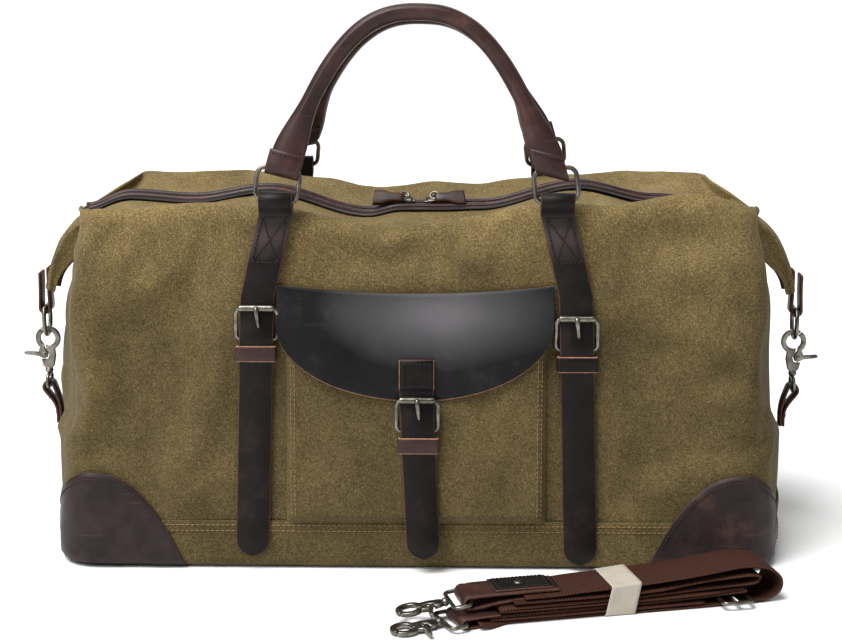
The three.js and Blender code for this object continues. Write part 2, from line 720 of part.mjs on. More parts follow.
// A bar above a half-round bow, in the plane across the bag. Origin at the bar's centre.
function endRing() {
  const ring = (half, top, bow) => [[-half, top], [-half, -11], ...arc([0, -11], bow, 180, 360, 10), [half, top]];
  const shape = shapeOf(ring(13.5, 1.75, 13.5), ring(10, -1.75, 10));
  return warp(extrude(shape, HOOK_THICKNESS), (point) => point.set(point.z, point.x, point.y));
}

function endAnchor() {
  const line = [[289.5, 82], [289.5, 96], ...arc([SIDE_X, HOOK_EYE_UP], 4.2, -40, 150, 9),
    [287.1, 97], [287.1, 82]];
  return strapLoop(line, 2, 13);
}

function buildEndHardware() {
  for (const [name, turn] of [['left', Math.PI], ['right', 0]]) {
    const half = makeGroup(bag, [0, 0, 0], [0, 0, turn]);
    addMesh(`ear_tab_${name}`, earTab(), strapLeather, half);
    addMesh(`d_ring_${name}`, endRing(), nickel, half).position.set(SIDE_X, 0, SIDE_RING_UP);
    addMesh(`side_anchor_${name}`, endAnchor(), strapLeather, half);
    placeHook(makeGroup(half, [SIDE_X, 0, SIDE_THROAT_UP]), 'side', name, SIDE_EYE);
  }
}

// ---- Shoulder strap: folded webbing, a leather end tab, two hooks and a slider ----
const BUNDLE_LENGTH = 224;
const BUNDLE_WIDTH = 38;
const BUNDLE_RISE = [[0, 13], [58, 17], [64, 25], [150, 27], [190, 30], [211, 27], [224, 12]];
const SLIDER_X = 184;

function foldedWebbing() {
  const block = new THREE.BoxGeometry(BUNDLE_LENGTH, BUNDLE_WIDTH, 1, 19, 1, 1);
  const bundle = warp(block, (point) => {
    point.x += BUNDLE_LENGTH / 2;
    point.z = (point.z + 0.5) * alongTable(BUNDLE_RISE, point.x);
  });
  return cut(bundle, boxBetween([SLIDER_X - 13, -40, 3], [SLIDER_X + 13, 40, 8]));
}

function shoulderTab() {
  const line = [[56, 20.5], [-5, 20.5], ...arc([-8, 15.5], 4.6, 60, 250, 8), [-2, 10.6]];
  return acrossY(extrude(shapeOf(stripOutline(line, 2.6)), 28));
}

function lowerTab() {
  const line = [[13.2, 3.3], [4, 3.3], ...arc([0, 0], 3.3, 90, 270, 8), [13.2, -3.3]];
  return acrossY(extrude(shapeOf(stripOutline(line, 1.6)), 28));
}

function buildShoulderStrap() {
  const lay = makeGroup(bag, BUNDLE_POSITION, [0, 0, radians(BUNDLE_ANGLE)]);
  addMesh('shoulder_webbing', foldedWebbing(), webbing, lay);
  addMesh('shoulder_tab', shoulderTab(), strapLeather, lay);
  const slider = plateRing(24, 50, 3, 3).rotateX(Math.PI / 2);
  addMesh('shoulder_slider', slider, nickel, lay).position.set(SLIDER_X, -6, 5.5);
  const high = makeGroup(lay, [-8, 0, 15.5], [0, -radians(HIGH_HOOK_DIP), 0]);
  const highFlat = makeGroup(high, [-41, 0, 0], [Math.PI / 2, -Math.PI / 2, 0]);
  placeHook(highFlat, 'shoulder', 'a', SHOULDER_EYE);
  const low = makeGroup(lay, LOW_HOOK_PLACE, [0, 0, radians(LOW_HOOK_TURN)]);
  addMesh('shoulder_tab_lower', lowerTab(), strapLeather, low);
  const lowDip = makeGroup(low, [0, 0, 0], [0, -radians(LOW_HOOK_DIP), 0]);
  const lowFlat = makeGroup(lowDip, [-41, 0, 0], [Math.PI / 2, -Math.PI / 2, 0]);
  placeHook(lowFlat, 'shoulder', 'b', SHOULDER_EYE);
}

buildBody();
buildFront();
buildBack();
buildZipSliders();
buildEndHardware();
buildShoulderStrap();
export default bag;
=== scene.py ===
# Looks of the canvas and leather duffel bag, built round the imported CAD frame.
# Shapes are worked out in millimetres and written to the meshes in metres.
from math import atan2, copysign, cos, exp, pi, radians, sin, sqrt
import bpy
import bmesh
from mathutils import Matrix, Vector, noise


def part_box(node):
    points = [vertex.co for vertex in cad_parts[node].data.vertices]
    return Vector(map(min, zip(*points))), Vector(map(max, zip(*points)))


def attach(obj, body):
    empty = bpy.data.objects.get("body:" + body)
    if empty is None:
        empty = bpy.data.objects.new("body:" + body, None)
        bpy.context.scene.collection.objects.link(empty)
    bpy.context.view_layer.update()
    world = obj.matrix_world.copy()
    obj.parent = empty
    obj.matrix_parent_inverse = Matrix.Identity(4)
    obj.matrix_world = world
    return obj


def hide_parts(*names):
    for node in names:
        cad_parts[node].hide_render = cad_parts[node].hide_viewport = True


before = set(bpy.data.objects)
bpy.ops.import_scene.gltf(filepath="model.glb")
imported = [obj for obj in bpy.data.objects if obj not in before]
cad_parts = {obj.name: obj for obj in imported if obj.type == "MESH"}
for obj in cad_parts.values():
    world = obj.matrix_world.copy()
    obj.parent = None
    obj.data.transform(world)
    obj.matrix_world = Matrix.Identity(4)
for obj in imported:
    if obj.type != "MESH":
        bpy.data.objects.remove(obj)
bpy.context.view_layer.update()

MM = 0.001
LEFT_RIGHT = (("left", -1), ("right", 1))
CLOTH_FRAMES = 22


def node_box(name):
    """A node's lowest and highest corners, in millimetres."""
    low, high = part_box(name)
    return Vector(low) / MM, Vector(high) / MM


def lerp(a, b, part):
    return a + (b - a) * part


def clamp(value, low=0.0, high=1.0):
    return max(low, min(high, value))


def smooth(value):
    value = clamp(value)
    return value * value * (3 - 2 * value)


def srgb(red, green, blue):
    def linear(value):
        value /= 255
        return value / 12.92 if value <= 0.04045 else ((value + 0.055) / 1.055) ** 2.4

    return (linear(red), linear(green), linear(blue), 1.0)


# ---- materials
class Shader:
    """Builds one procedural material on object coordinates, in metres."""

    def __init__(self, name, roughness=0.6, specular=0.5, metallic=0.0):
        self.material = bpy.data.materials.new(name)
        self.material.use_nodes = True
        self.tree = self.material.node_tree
        self.surface = self.tree.nodes["Principled BSDF"]
        self.feed(self.surface, {"Roughness": roughness, "Specular IOR Level": specular, "Metallic": metallic})
        self.place = self.add("ShaderNodeTexCoord").outputs["Object"]
        self.last_bump = None

    def feed(self, node, inputs):
        """Gives a node's inputs their values, or links them to other nodes' outputs."""
        for socket, value in inputs.items():
            if hasattr(value, "is_output"):
                self.tree.links.new(value, node.inputs[socket])
            else:
                node.inputs[socket].default_value = value

    def add(self, kind, inputs=None, **values):
        node = self.tree.nodes.new(kind)
        for key, value in values.items():
            setattr(node, key, value)
        self.feed(node, inputs or {})
        return node

    def noise(self, scale, detail, stretch=None, roughness=0.55):
        place = self.place
        if stretch:
            place = self.add("ShaderNodeMapping", {"Vector": place, "Scale": stretch}).outputs["Vector"]
        inputs = {"Vector": place, "Scale": scale, "Detail": detail, "Roughness": roughness}
        return self.add("ShaderNodeTexNoise", inputs).outputs["Fac"]

    def cells(self, scale):
        inputs = {"Vector": self.place, "Scale": scale}
        return self.add("ShaderNodeTexVoronoi", inputs, feature="DISTANCE_TO_EDGE").outputs["Distance"]

    def upward(self, height):
        """0 at the floor, 1 at the given height."""
        level = self.add("ShaderNodeSeparateXYZ", {0: self.place}).outputs["Z"]
        return self.add("ShaderNodeMath", {0: level, 1: height}, operation="DIVIDE").outputs[0]

    def spot(self, centre, size):
        """0 at a centre, 1 at an ellipsoid of the given half sizes and beyond."""
        mapping = self.add("ShaderNodeMapping", vector_type="TEXTURE")
        self.feed(mapping, {"Vector": self.place, "Location": centre, "Scale": size})
        place = mapping.outputs["Vector"]
        return self.add("ShaderNodeVectorMath", {0: place}, operation="LENGTH").outputs["Value"]

    def ramp(self, source, stops):
        node = self.add("ShaderNodeValToRGB", {"Fac": source})
        ramp = node.color_ramp
        while len(ramp.elements) < len(stops):
            ramp.elements.new(0.5)
        for element, (position, colour) in zip(ramp.elements, stops):
            element.position = position
            element.color = colour if hasattr(colour, "__len__") else (colour, colour, colour, 1)
        return node.outputs["Color"]

    def mix(self, factor, first, second, blend="MIX"):
        inputs = {0: factor, 6: first, 7: second}
        return self.add("ShaderNodeMix", inputs, data_type="RGBA", blend_type=blend).outputs[2]

    def colour(self, source):
        self.feed(self.surface, {"Base Color": source})

    def rough(self, source, low, high):
        self.feed(self.surface, {"Roughness": self.ramp(source, [(0.3, low), (0.7, high)])})

    def bump(self, height, strength, distance):
        node = self.add("ShaderNodeBump", {"Strength": strength, "Distance": distance, "Height": height})
        if self.last_bump:
            self.feed(node, {"Normal": self.last_bump})
        self.last_bump = node.outputs["Normal"]
        self.feed(self.surface, {"Normal": self.last_bump})


def canvas_material(name, dark, middle, light):
    """Washed canvas: fine grainy threads, pale flecks and broad worn patches, with painted light: darker low down
    and lighter towards the top.
    """
    cloth = Shader(name, 0.92, 0.15)
    cloth.feed(cloth.surface, {"Sheen Weight": 0.03, "Sheen Roughness": 0.6})
    across = cloth.noise(1500, 2, (0.25, 0.7, 1.0))
    upward = cloth.noise(1500, 2, (1.0, 0.7, 0.25))
    threads = cloth.mix(0.45, cloth.noise(820, 4, None, 0.7), cloth.mix(0.5, across, upward))
    tone = cloth.ramp(threads, [(0.36, dark), (0.5, middle), (0.66, light)])
    # The last ramp, by height, is painted light from above: it darkens the canvas low down and lightens it near the
    # top.
    for source, stops in ((cloth.noise(9, 5, None, 0.62), [(0.3, 0.7), (0.7, 1.26)]),
                          (cloth.noise(48, 5, (1.0, 1.0, 0.6), 0.7), [(0.3, 0.82), (0.7, 1.16)]),
                          (cloth.upward(0.28), [(0.1, 0.73), (0.6, 0.78), (0.8, 1.02), (0.97, 1.44)])):
        tone = cloth.mix(1.0, tone, cloth.ramp(source, stops), "MULTIPLY")
    flecks = cloth.ramp(cloth.noise(900, 2), [(0.64, 0.0), (0.74, 0.5)])
    cloth.colour(cloth.mix(flecks, tone, light))
    cloth.bump(cloth.noise(42, 4), 0.2, 0.002)
    cloth.bump(threads, 0.45, 0.0005)
    return cloth.material


def leather_material(name, dark, middle, worn, rough=(0.32, 0.55), shine=0.14, painted_highlight=None):
    """Waxed leather: soft mottling, fine grain, thin scratches; the last argument gives a painted highlight, a
    lighter spot where light falls, as (centre, size, colour).
    """
    hide = Shader(name, specular=shine)
    tone = hide.ramp(hide.noise(38, 6, None, 0.65), [(0.32, dark), (0.55, middle), (0.78, worn)])
    tone = hide.mix(hide.ramp(hide.noise(60, 2, (0.3, 1.0, 4.5)), [(0.67, 0.0), (0.72, 0.35)]), tone, worn)
    # Painted highlight: the colour is mixed towards a lighter one in a soft spot where light falls.
    if painted_highlight:
        patch = hide.mix(0.24, hide.spot(*painted_highlight[:2]), hide.noise(16, 2))
        tone = hide.mix(hide.ramp(patch, [(0.2, 0.62), (0.42, 0.36), (0.85, 0.0)]), tone, painted_highlight[2])
    hide.colour(tone)
    hide.rough(hide.noise(55, 4), *rough)
    hide.bump(hide.noise(30, 3), 0.25, 0.002)
    hide.bump(hide.cells(1100), 0.3, 0.0003)
    return hide.material


def metal_material(name, base, dark):
    """Antique nickel: bright where rubbed, dark in patches."""
    metal = Shader(name, metallic=1.0)
    metal.colour(metal.ramp(metal.noise(130, 3), [(0.3, dark), (0.62, base)]))
    metal.rough(metal.noise(200, 3), 0.28, 0.42)
    metal.bump(metal.noise(500, 2), 0.05, 0.0002)
    return metal.material


def fibre_material(name, base, shade, fibres, stops, bump, roughness=0.8, specular=0.5):
    """Thread, paper or a raw leather edge: matt, and darker between its fibres."""
    fibre = Shader(name, roughness, specular)
    dark = tuple(channel * shade for channel in base[:3]) + (1.0,)
    fibre.colour(fibre.ramp(fibre.noise(*fibres), [(stops[0], dark), (stops[1], base)]))
    fibre.bump(fibre.noise(*bump[:2]), *bump[2:])
    return fibre.material


THREAD_LOOK = (0.55, (1500, 2), (0.4, 0.6), (2500, 1, 0.3, 0.0002))
PAPER_LOOK = (0.86, (60, 4), (0.35, 0.65), (120, 4, 0.3, 0.0008))
EDGE_LOOK = (0.6, (420, 3), (0.35, 0.65), (900, 2, 0.4, 0.0004), 0.85, 0.15)


def webbing_material(name, dark, light):
    """Ribbed cotton webbing; its ribs follow the length and width stored with each strip."""
    strap = Shader(name, 0.88, 0.08)
    uv = strap.add("ShaderNodeTexCoord").outputs["UV"]
    inputs = {"Vector": uv, "Scale": 1.0, "Distortion": 0.8, "Detail": 1.0}
    waves = [strap.add("ShaderNodeTexWave", inputs, bands_direction=direction) for direction in "XY"]
    weave = strap.mix(0.5, *(wave.outputs["Fac"] for wave in waves))
    grain = strap.mix(0.35, weave, strap.noise(1400, 2))
    strap.colour(strap.ramp(grain, [(0.25, dark), (0.75, light)]))
    strap.bump(weave, 0.7, 0.0006)
    return strap.material


CANVAS = canvas_material("canvas", srgb(60, 51, 29), srgb(93, 79, 48), srgb(137, 120, 80))
LINING = fibre_material("lining", srgb(70, 60, 50), *THREAD_LOOK)
BOARD = fibre_material("board", srgb(105, 98, 88), *PAPER_LOOK)
# The flap's lighter grey spot in its upper middle is a painted highlight.
FLAP = leather_material("flap_leather", srgb(17, 17, 18), srgb(25, 24, 25), srgb(44, 42, 43), (0.34, 0.5), 0.12,
                        ((0.018, -0.11, 0.194), (0.098, 0.3, 0.042), srgb(112, 110, 112)))
# The strap leather's lighter band about 250 mm up is painted light, falling from above on the straps' upper part.
STRAP = leather_material("strap_leather", srgb(14, 11, 11), srgb(23, 18, 17), srgb(42, 33, 30),
                         painted_highlight=((0, -0.09, 0.25), (1, 1, 0.021), srgb(78, 66, 65)))
PATCH = leather_material("patch_leather", srgb(30, 22, 22), srgb(46, 34, 33), srgb(84, 60, 52),
                         (0.36, 0.62), 0.22)
HANDLE = leather_material("handle_leather", srgb(36, 22, 20), srgb(54, 33, 29), srgb(86, 55, 46),
                          (0.34, 0.52), 0.3)
EDGE = fibre_material("raw_edge", srgb(92, 62, 52), *EDGE_LOOK)
PALE_EDGE = fibre_material("pale_edge", srgb(150, 110, 92), *EDGE_LOOK)
NICKEL = metal_material("nickel", srgb(134, 130, 122), srgb(80, 76, 70))
TAN_THREAD = fibre_material("tan_thread", srgb(150, 122, 78), *THREAD_LOOK)
DARK_THREAD = fibre_material("dark_thread", srgb(52, 34, 28), *THREAD_LOOK)
LEATHER_THREAD = fibre_material("leather_thread", srgb(14, 9, 8), *THREAD_LOOK)
ZIP_TAPE = fibre_material("zip_tape", srgb(66, 46, 40), *THREAD_LOOK)
TEETH = metal_material("zip_teeth", srgb(200, 196, 186), srgb(120, 114, 104))
WEBBING = webbing_material("webbing", srgb(34, 20, 16), srgb(76, 48, 38))
PAPER = fibre_material("paper", srgb(174, 166, 152), *PAPER_LOOK)
# Slot names by a piece's first material, strap_leather for all others; new_object looks them up but keeps the
# result on no piece.
SLOTS = {material.name: slot for slot, materials in (
    ("canvas", (CANVAS, TAN_THREAD)), ("nickel", (NICKEL,)), ("lining", (LINING,)), ("stiffener", (BOARD,)),
    ("flap_leather", (FLAP,)), ("patch_leather", (PATCH,)), ("webbing", (WEBBING, PAPER)),
    ("zip_tape", (ZIP_TAPE, TEETH))) for material in materials}


# ---- mesh helpers
def add_object(name, data):
    piece = bpy.data.objects.new(name, data)
    bpy.context.scene.collection.objects.link(piece)
    return piece


def new_object(name, points, faces, materials, replaces="", body="bag", slot=None):
    """A smooth piece with its faces turned outward; replaces names its CAD nodes, with spaces between."""
    mesh = bpy.data.meshes.new(name)
    mesh.from_pydata([Vector(point) * MM for point in points], [], faces)
    mesh.validate()
    work = bmesh.new()
    work.from_mesh(mesh)
    bmesh.ops.recalc_face_normals(work, faces=work.faces)
    work.to_mesh(mesh)
    work.free()
    for material in materials:
        mesh.materials.append(material)
    for polygon in mesh.polygons:
        polygon.use_smooth = True
    piece = add_object(name, mesh)
    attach(piece, body)
    slot or SLOTS.get(materials[0].name, "strap_leather")
    if replaces:
        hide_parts(*replaces.split())
    return piece


def thick_grid(name, at, columns, rows, thickness, materials, replaces="", body="bag", closed=False):
    """A sheet of given thickness. at(u, v) gives (point, outward normal); material 1 is the rim."""
    span = columns if closed else columns + 1
    spots = [at(column / columns, row / rows) for row in range(rows + 1) for column in range(span)]
    points = [Vector(point) for point, _ in spots]
    points += [Vector(point) - normal * thickness for point, normal in spots]
    offset = len(spots)

    def index(column, row):
        return row * span + column % span

    faces = []
    for row in range(rows):
        for column in range(columns):
            a, b = index(column, row), index(column + 1, row)
            c, d = index(column + 1, row + 1), index(column, row + 1)
            faces += [(a, b, c, d), (a + offset, d + offset, c + offset, b + offset)]
    walls = len(faces)
    rims = [(index(c, 0), index(c + 1, 0)) for c in range(columns)]
    rims += [(index(c + 1, rows), index(c, rows)) for c in range(columns)]
    if not closed:
        rims += [(index(columns, r), index(columns, r + 1)) for r in range(rows)]
        rims += [(index(0, r + 1), index(0, r)) for r in range(rows)]
    faces += [(b, a, a + offset, b + offset) for a, b in rims]
    piece = new_object(name, points, faces, materials, replaces, body)
    if len(materials) > 1:
        for polygon in piece.data.polygons[walls:]:
            polygon.material_index = 1
    return piece


def paint_rows(piece, columns, rows):
    """Gives the outer faces of the chosen rows of a thick_grid its edge material."""
    for row in rows:
        for column in range(columns):
            piece.data.polygons[(row * columns + column) * 2].material_index = 1


def ring_of(count, radius):
    return [(radius * cos(2 * pi * i / count), radius * sin(2 * pi * i / count))
            for i in range(count)]


def tube_faces(rings, sides, closed=False):
    """Faces between rings of vertices, with end caps unless the tube closes on itself."""
    faces = []
    for ring in range(rings if closed else rings - 1):
        after = (ring + 1) % rings * sides
        for step in range(sides):
            turned = (step + 1) % sides
            faces.append((ring * sides + step, ring * sides + turned, after + turned, after + step))
    if not closed:
        faces += [tuple(range(sides))[::-1], tuple(range((rings - 1) * sides, rings * sides))]
    return faces


def sweep(points, radius, sides=10, closed=False, taper=None):
    """Vertices and faces of a round bar along points; taper(part) scales its radius."""
    points = [Vector(point) for point in points]
    count = len(points)
    vertices = []
    normal = None
    for index, point in enumerate(points):
        ahead = points[(index + 1) % count] if closed or index < count - 1 else point
        behind = points[index - 1] if closed or index else point
        along = (ahead - behind).normalized()
        if normal is None:
            normal = along.orthogonal().normalized()
        normal = (normal - along * normal.dot(along)).normalized()
        side = along.cross(normal)
        scale = radius * (taper(index / max(count - 1, 1)) if taper else 1)
        vertices += [point + normal * x + side * y for x, y in ring_of(sides, scale)]
    return vertices, tube_faces(count, sides, closed)


def solid_object(name, parts, materials, replaces="", body="bag", slot=None):
    """One piece from a list of (vertices, faces)."""
    vertices, faces = [], []
    for part_vertices, part_faces in parts:
        start = len(vertices)
        vertices += part_vertices
        faces += [tuple(start + index for index in face) for face in part_faces]
    return new_object(name, vertices, faces, materials, replaces, body, slot)


def subdivide(piece):
    modifier = piece.modifiers.new("round", "SUBSURF")
    modifier.levels = modifier.render_levels = 1


# ---- form of the bag, as in the CAD
BASE_HALF_LENGTH = 270
END_TAPER = 24
SHOULDER_BULGE = 9
SHOULDER_HEIGHT = 202
SHOULDER_SPREAD = 42
BASE_HALF_DEPTH = 120
DEPTH_TAPER = 25
SEAM_DROP = 3
RIDGE_HEIGHT = node_box("front_panel")[1].z + SEAM_DROP
RIDGE_SAG = 15
SAG_WIDTH = 75
SAG_X = -14
BACK_SAG = 15
BACK_SAG_WIDTH = 92
END_BULGE = 18
BULGE_HEIGHT = 110
LOW_CORNER_RADIUS = 28
HIGH_CORNER_RADIUS = 15
BASE_EDGE_ROUND = 8
BAND_HEIGHT = node_box("base_panel")[1].z
ZIP_CENTRE_HEIGHT = 256
ZIP_END_X = 256
ZIP_LINE = ((-262, 253), (-226, 264), (-176, 261), (-118, 269), (-40, 251), (-14, 256), (14, 256), (48, 257),
            (122, 273), (182, 262), (226, 259), (262, 251))
ZIP_HALF_WIDTH = node_box("zipper_chain")[1].y
SLOPE = atan2(DEPTH_TAPER, RIDGE_HEIGHT)


def half_length(up):
    shoulder = SHOULDER_BULGE * exp(-(((up - SHOULDER_HEIGHT) / SHOULDER_SPREAD) ** 2))
    return BASE_HALF_LENGTH - END_TAPER * (max(up, 0) / RIDGE_HEIGHT) ** 2.2 + shoulder


def half_depth(up):
    return BASE_HALF_DEPTH - DEPTH_TAPER * up / RIDGE_HEIGHT


def end_bulge(up):
    reach = (up - BULGE_HEIGHT) / (RIDGE_HEIGHT - BULGE_HEIGHT)
    return END_BULGE * max(0, 1 - reach * reach)


def corner_radius(up):
    return lerp(LOW_CORNER_RADIUS, HIGH_CORNER_RADIUS, smooth((up - 90) / 150))


def ridge_height(x, y=-1):
    """The front ridge sags once, left of the middle; the back one twice."""
    if y < 0:
        ends = 6 * smooth((-x - 130) / 110) + 7 * smooth((x - 212) / 34)
        ends -= 8 * exp(-(((x - 206) / 40) ** 2))
        return RIDGE_HEIGHT - ends - RIDGE_SAG * exp(-(((x - SAG_X) / SAG_WIDTH) ** 2))
    return RIDGE_HEIGHT - BACK_SAG * exp(-((x / BACK_SAG_WIDTH) ** 2)) + 6 * exp(-(((x - 4) / 30) ** 2))


def zip_height(x):
    """The zip dips in the middle, crests under the straps and runs down to its ends."""
    for (first, low), (second, high) in zip(ZIP_LINE, ZIP_LINE[1:]):
        if x <= second:
            return lerp(low, high, smooth((x - first) / (second - first)))
    return ZIP_LINE[-1][1]


def end_point(turn, up, inset):
    """Plan position on one end: turn is -1 at the front face, +1 at the back face."""
    radius = max(corner_radius(up) - inset, 2)
    length = half_length(up) - inset
    depth = half_depth(up) - inset
    straight = depth - radius
    if abs(turn) <= 0.5:
        y = turn / 0.5 * straight
        return length + end_bulge(up) * (1 - (y / straight) ** 2), y
    angle = (abs(turn) - 0.5) * pi
    return (length - radius + radius * cos(angle),
            copysign(straight + radius * sin(angle), turn))


# Columns run round the bag: front face, right end, back face, left end.
FACE_COLUMNS = 64
ARC_COLUMNS = 6
FLAT_COLUMNS = 24
END_COLUMNS = 2 * ARC_COLUMNS + FLAT_COLUMNS
COLUMNS = 2 * (FACE_COLUMNS + END_COLUMNS)
WALL_ROWS = 32
RIDGE_ROWS = 4
TOP_ROWS = 10
ROWS = WALL_ROWS + RIDGE_ROWS + TOP_ROWS
RIDGE_ROUND = 14
RIDGE_TURN = radians(80)
TOP_DIP = 3.2


def end_turn(step):
    """Turn value of a column counted from an end's front corner."""
    if step <= ARC_COLUMNS:
        return -1 + 0.5 * step / ARC_COLUMNS
    if step >= ARC_COLUMNS + FLAT_COLUMNS:
        return 0.5 + 0.5 * (step - ARC_COLUMNS - FLAT_COLUMNS) / ARC_COLUMNS
    return -0.5 + (step - ARC_COLUMNS) / FLAT_COLUMNS


def around(column, up, inset=0.0):
    """Plan position of a column at a height, and where its top meets the zip."""
    column %= COLUMNS
    if column < FACE_COLUMNS:
        reach = 2 * column / FACE_COLUMNS - 1
        x = reach * (half_length(up) - corner_radius(up))
        return (x, -(half_depth(up) - inset)), (reach * ZIP_END_X, -ZIP_HALF_WIDTH)
    column -= FACE_COLUMNS
    if column < END_COLUMNS:
        turn = end_turn(column)
        return end_point(turn, up, inset), (ZIP_END_X, turn * ZIP_HALF_WIDTH)
    point, zip_point = around(column - END_COLUMNS, up, inset)
    return (-point[0], -point[1]), (-zip_point[0], -zip_point[1])


def drawn_in(point):
    """The back's upper corners are drawn in a little."""
    if point.y > 0:
        point.x *= 1 - 0.085 * smooth((point.z - 205) / 60) * smooth(point.y / 80)
    return point


def shell_point(column, row):
    """A point up the wall, over a rounded ridge and in to the zip."""
    edge, zip_point = around(column, RIDGE_HEIGHT)
    outward = clamp(abs(edge[1]) / half_depth(RIDGE_HEIGHT))
    ridge = lerp(zip_height(ZIP_END_X) + 4, ridge_height(edge[0], edge[1]), smooth((outward - 0.05) / 0.95))
    wall_top = ridge - RIDGE_ROUND
    if row <= WALL_ROWS:
        up = lerp(BAND_HEIGHT - 1, wall_top, row / WALL_ROWS)
        (x, y), _ = around(column, up)
        return Vector((x, y, up))
    (x, y), _ = around(column, wall_top)
    start = Vector((x, y, wall_top))
    goal = Vector((zip_point[0], zip_point[1], zip_height(zip_point[0]) - 0.6))
    inward = Vector((goal.x - x, goal.y - y, 0))
    reach = inward.length
    inward.normalize()
    if row <= WALL_ROWS + RIDGE_ROWS:
        angle = (row - WALL_ROWS) / RIDGE_ROWS * RIDGE_TURN
        lift = Vector((0, 0, RIDGE_ROUND * sin(angle)))
        return start + inward * RIDGE_ROUND * (1 - cos(angle)) + lift
    part = (row - WALL_ROWS - RIDGE_ROWS) / TOP_ROWS
    begin = start + inward * RIDGE_ROUND * 0.83 + Vector((0, 0, RIDGE_ROUND * 0.985))
    point = begin.lerp(goal, part)
    point.z -= TOP_DIP * sin(pi * part) * min(reach / 80, 1)
    return point


# Creases on the front: start and end (x, up), half width, depth (negative goes in).
FRONT_CREASES = (
    ((-262, 128), (-186, 74), 9, -2.4), ((-258, 104), (-200, 62), 8, 1.7), ((-258, 84), (-222, 76), 7, -1.8),
    ((-236, 250), (-211, 238), 10, -2.2), ((-252, 226), (-226, 130), 14, -1.6), ((-154, 226), (-145, 236), 8, -2.6),
    ((-159, 194), (-145, 213), 8, 1.7), ((-228, 196), (-180, 222), 10, 1.8), ((-240, 178), (-176, 150), 11, -1.9),
    ((-170, 120), (-140, 176), 9, 1.4), ((-176, 60), (-140, 110), 11, -1.5),
    ((157, 247), (236, 249), 11, -2.8), ((122, 220), (143, 230), 7, -2.4), ((126, 209), (150, 226), 7, 1.7),
    ((167, 217), (242, 239), 9, 2.0), ((223, 203), (190, 199), 10, -2.0), ((226, 158), (246, 177), 7, 1.7),
    ((211, 140), (242, 150), 9, -2.0), ((240, 123), (253, 159), 6, 1.8), ((152, 200), (166, 110), 14, -1.6),
    ((186, 96), (246, 66), 9, -2.0), ((146, 56), (180, 92), 11, -1.4),
    ((-46, 262), (38, 246), 12, -1.8), ((-62, 250), (-40, 228), 8, -2.2), ((-52, 256), (-30, 238), 6, 2.2),
    ((-30, 238), (-2, 254), 6, 2.0), ((-14, 240), (30, 228), 9, -1.7), ((20, 250), (84, 234), 10, 1.5),
)
BACK_CREASES = (
    ((-240, 120), (-180, 70), 10, -3.0), ((240, 130), (190, 72), 10, -3.0), ((-60, 240), (70, 220), 16, -3.0),
    ((-30, 150), (60, 90), 18, -2.4), ((40, 190), (86, 120), 16, 1.8), ((-230, 230), (-190, 150), 14, -2.4),
    ((230, 240), (196, 160), 14, -2.4), ((-70, 90), (-20, 60), 12, -2.0),
)
END_CREASES = (
    ((-80, 196), (-20, 120), 12, -3.0), ((76, 190), (24, 116), 12, -3.0), ((-60, 240), (-20, 206), 10, 2.4),
    ((60, 240), (22, 206), 10, 2.4), ((-74, 90), (-30, 62), 10, -2.0), ((70, 84), (24, 60), 10, -2.0),
)


CREASE_GAIN = 2.7
CREASE_SPREAD = 1.2


def crease_depth(creases, across, up):
    total = 0.0
    here = Vector((across, up))
    for start, end, width, depth in creases:
        start, end = Vector(start), Vector(end)
        span = end - start
        part = clamp((here - start).dot(span) / span.length_squared)
        distance = (here - start - span * part).length
        fade = 1 - abs(2 * part - 1) ** 3
        total += CREASE_GAIN * depth * fade * exp(-((distance / width / CREASE_SPREAD) ** 2))
    return total


STRAP_LINE = ((11, 122.5), (206, 117.5), (232, 111.5), (268, 103), (300, 103))


def strap_x(up):
    for (low, first), (high, second) in zip(STRAP_LINE, STRAP_LINE[1:]):
        if up <= high:
            return lerp(first, second, clamp((up - low) / (high - low)))
    return STRAP_LINE[-1][1]


def held_flat(point):
    """1 where a strap or the pocket presses the canvas flat, 0 where it is free."""
    near = 1 - smooth((abs(abs(point.x) - strap_x(point.z)) - 15) / 16)
    corner = smooth((abs(point.x) - 188) / 16) * (1 - smooth((point.z - 74) / 12))
    if abs(point.y) < 70:
        return corner
    near = max(near, corner)
    if point.y < 0:
        pocket = 1 - smooth((abs(point.x) - 98) / 14)
        low_enough = 1 - smooth((point.z - 216) / 14)
        near = max(near, pocket * low_enough)
    return near



def simulate_shell(points):
    """Cloth, a little too large for its frame, held at the band and the zip, settles into folds."""
    mesh = bpy.data.meshes.new("shell_rest")
    mesh.from_pydata([point * MM for point in points], [], tube_faces(ROWS + 1, COLUMNS)[:-2])
    shell = add_object("shell_rest", mesh)
    pins = shell.vertex_groups.new(name="pins")
    for index, point in enumerate(points):
        row = index // COLUMNS
        held = 1.0 if row in (0, ROWS) else 0.35 if WALL_ROWS <= row <= WALL_ROWS + RIDGE_ROWS else 0.0
        weight = max(held, 0.8 * held_flat(point))
        if weight:
            pins.add([index], weight, "REPLACE")
    cloth = shell.modifiers.new("cloth", "CLOTH")
    settings = cloth.settings
    settings.quality = 6
    settings.mass = 0.35
    settings.tension_stiffness = settings.compression_stiffness = 25
    settings.shear_stiffness = 12
    settings.bending_stiffness = 4
    settings.shrink_min = settings.shrink_max = -0.016
    settings.vertex_group_mass = "pins"
    settings.pin_stiffness = 2
    settings.use_pressure = True
    settings.uniform_pressure_force = 0.12
    settings.effector_weights.gravity = 0.25
    cloth.collision_settings.use_collision = False
    scene = bpy.context.scene
    for step in range(1, CLOTH_FRAMES + 1):
        scene.frame_set(step)
    evaluated = shell.evaluated_get(bpy.context.evaluated_depsgraph_get())
    moved = [vertex.co / MM for vertex in evaluated.data.vertices]
    scene.frame_set(1)
    bpy.data.objects.remove(shell)
    bpy.data.meshes.remove(mesh)
    return moved


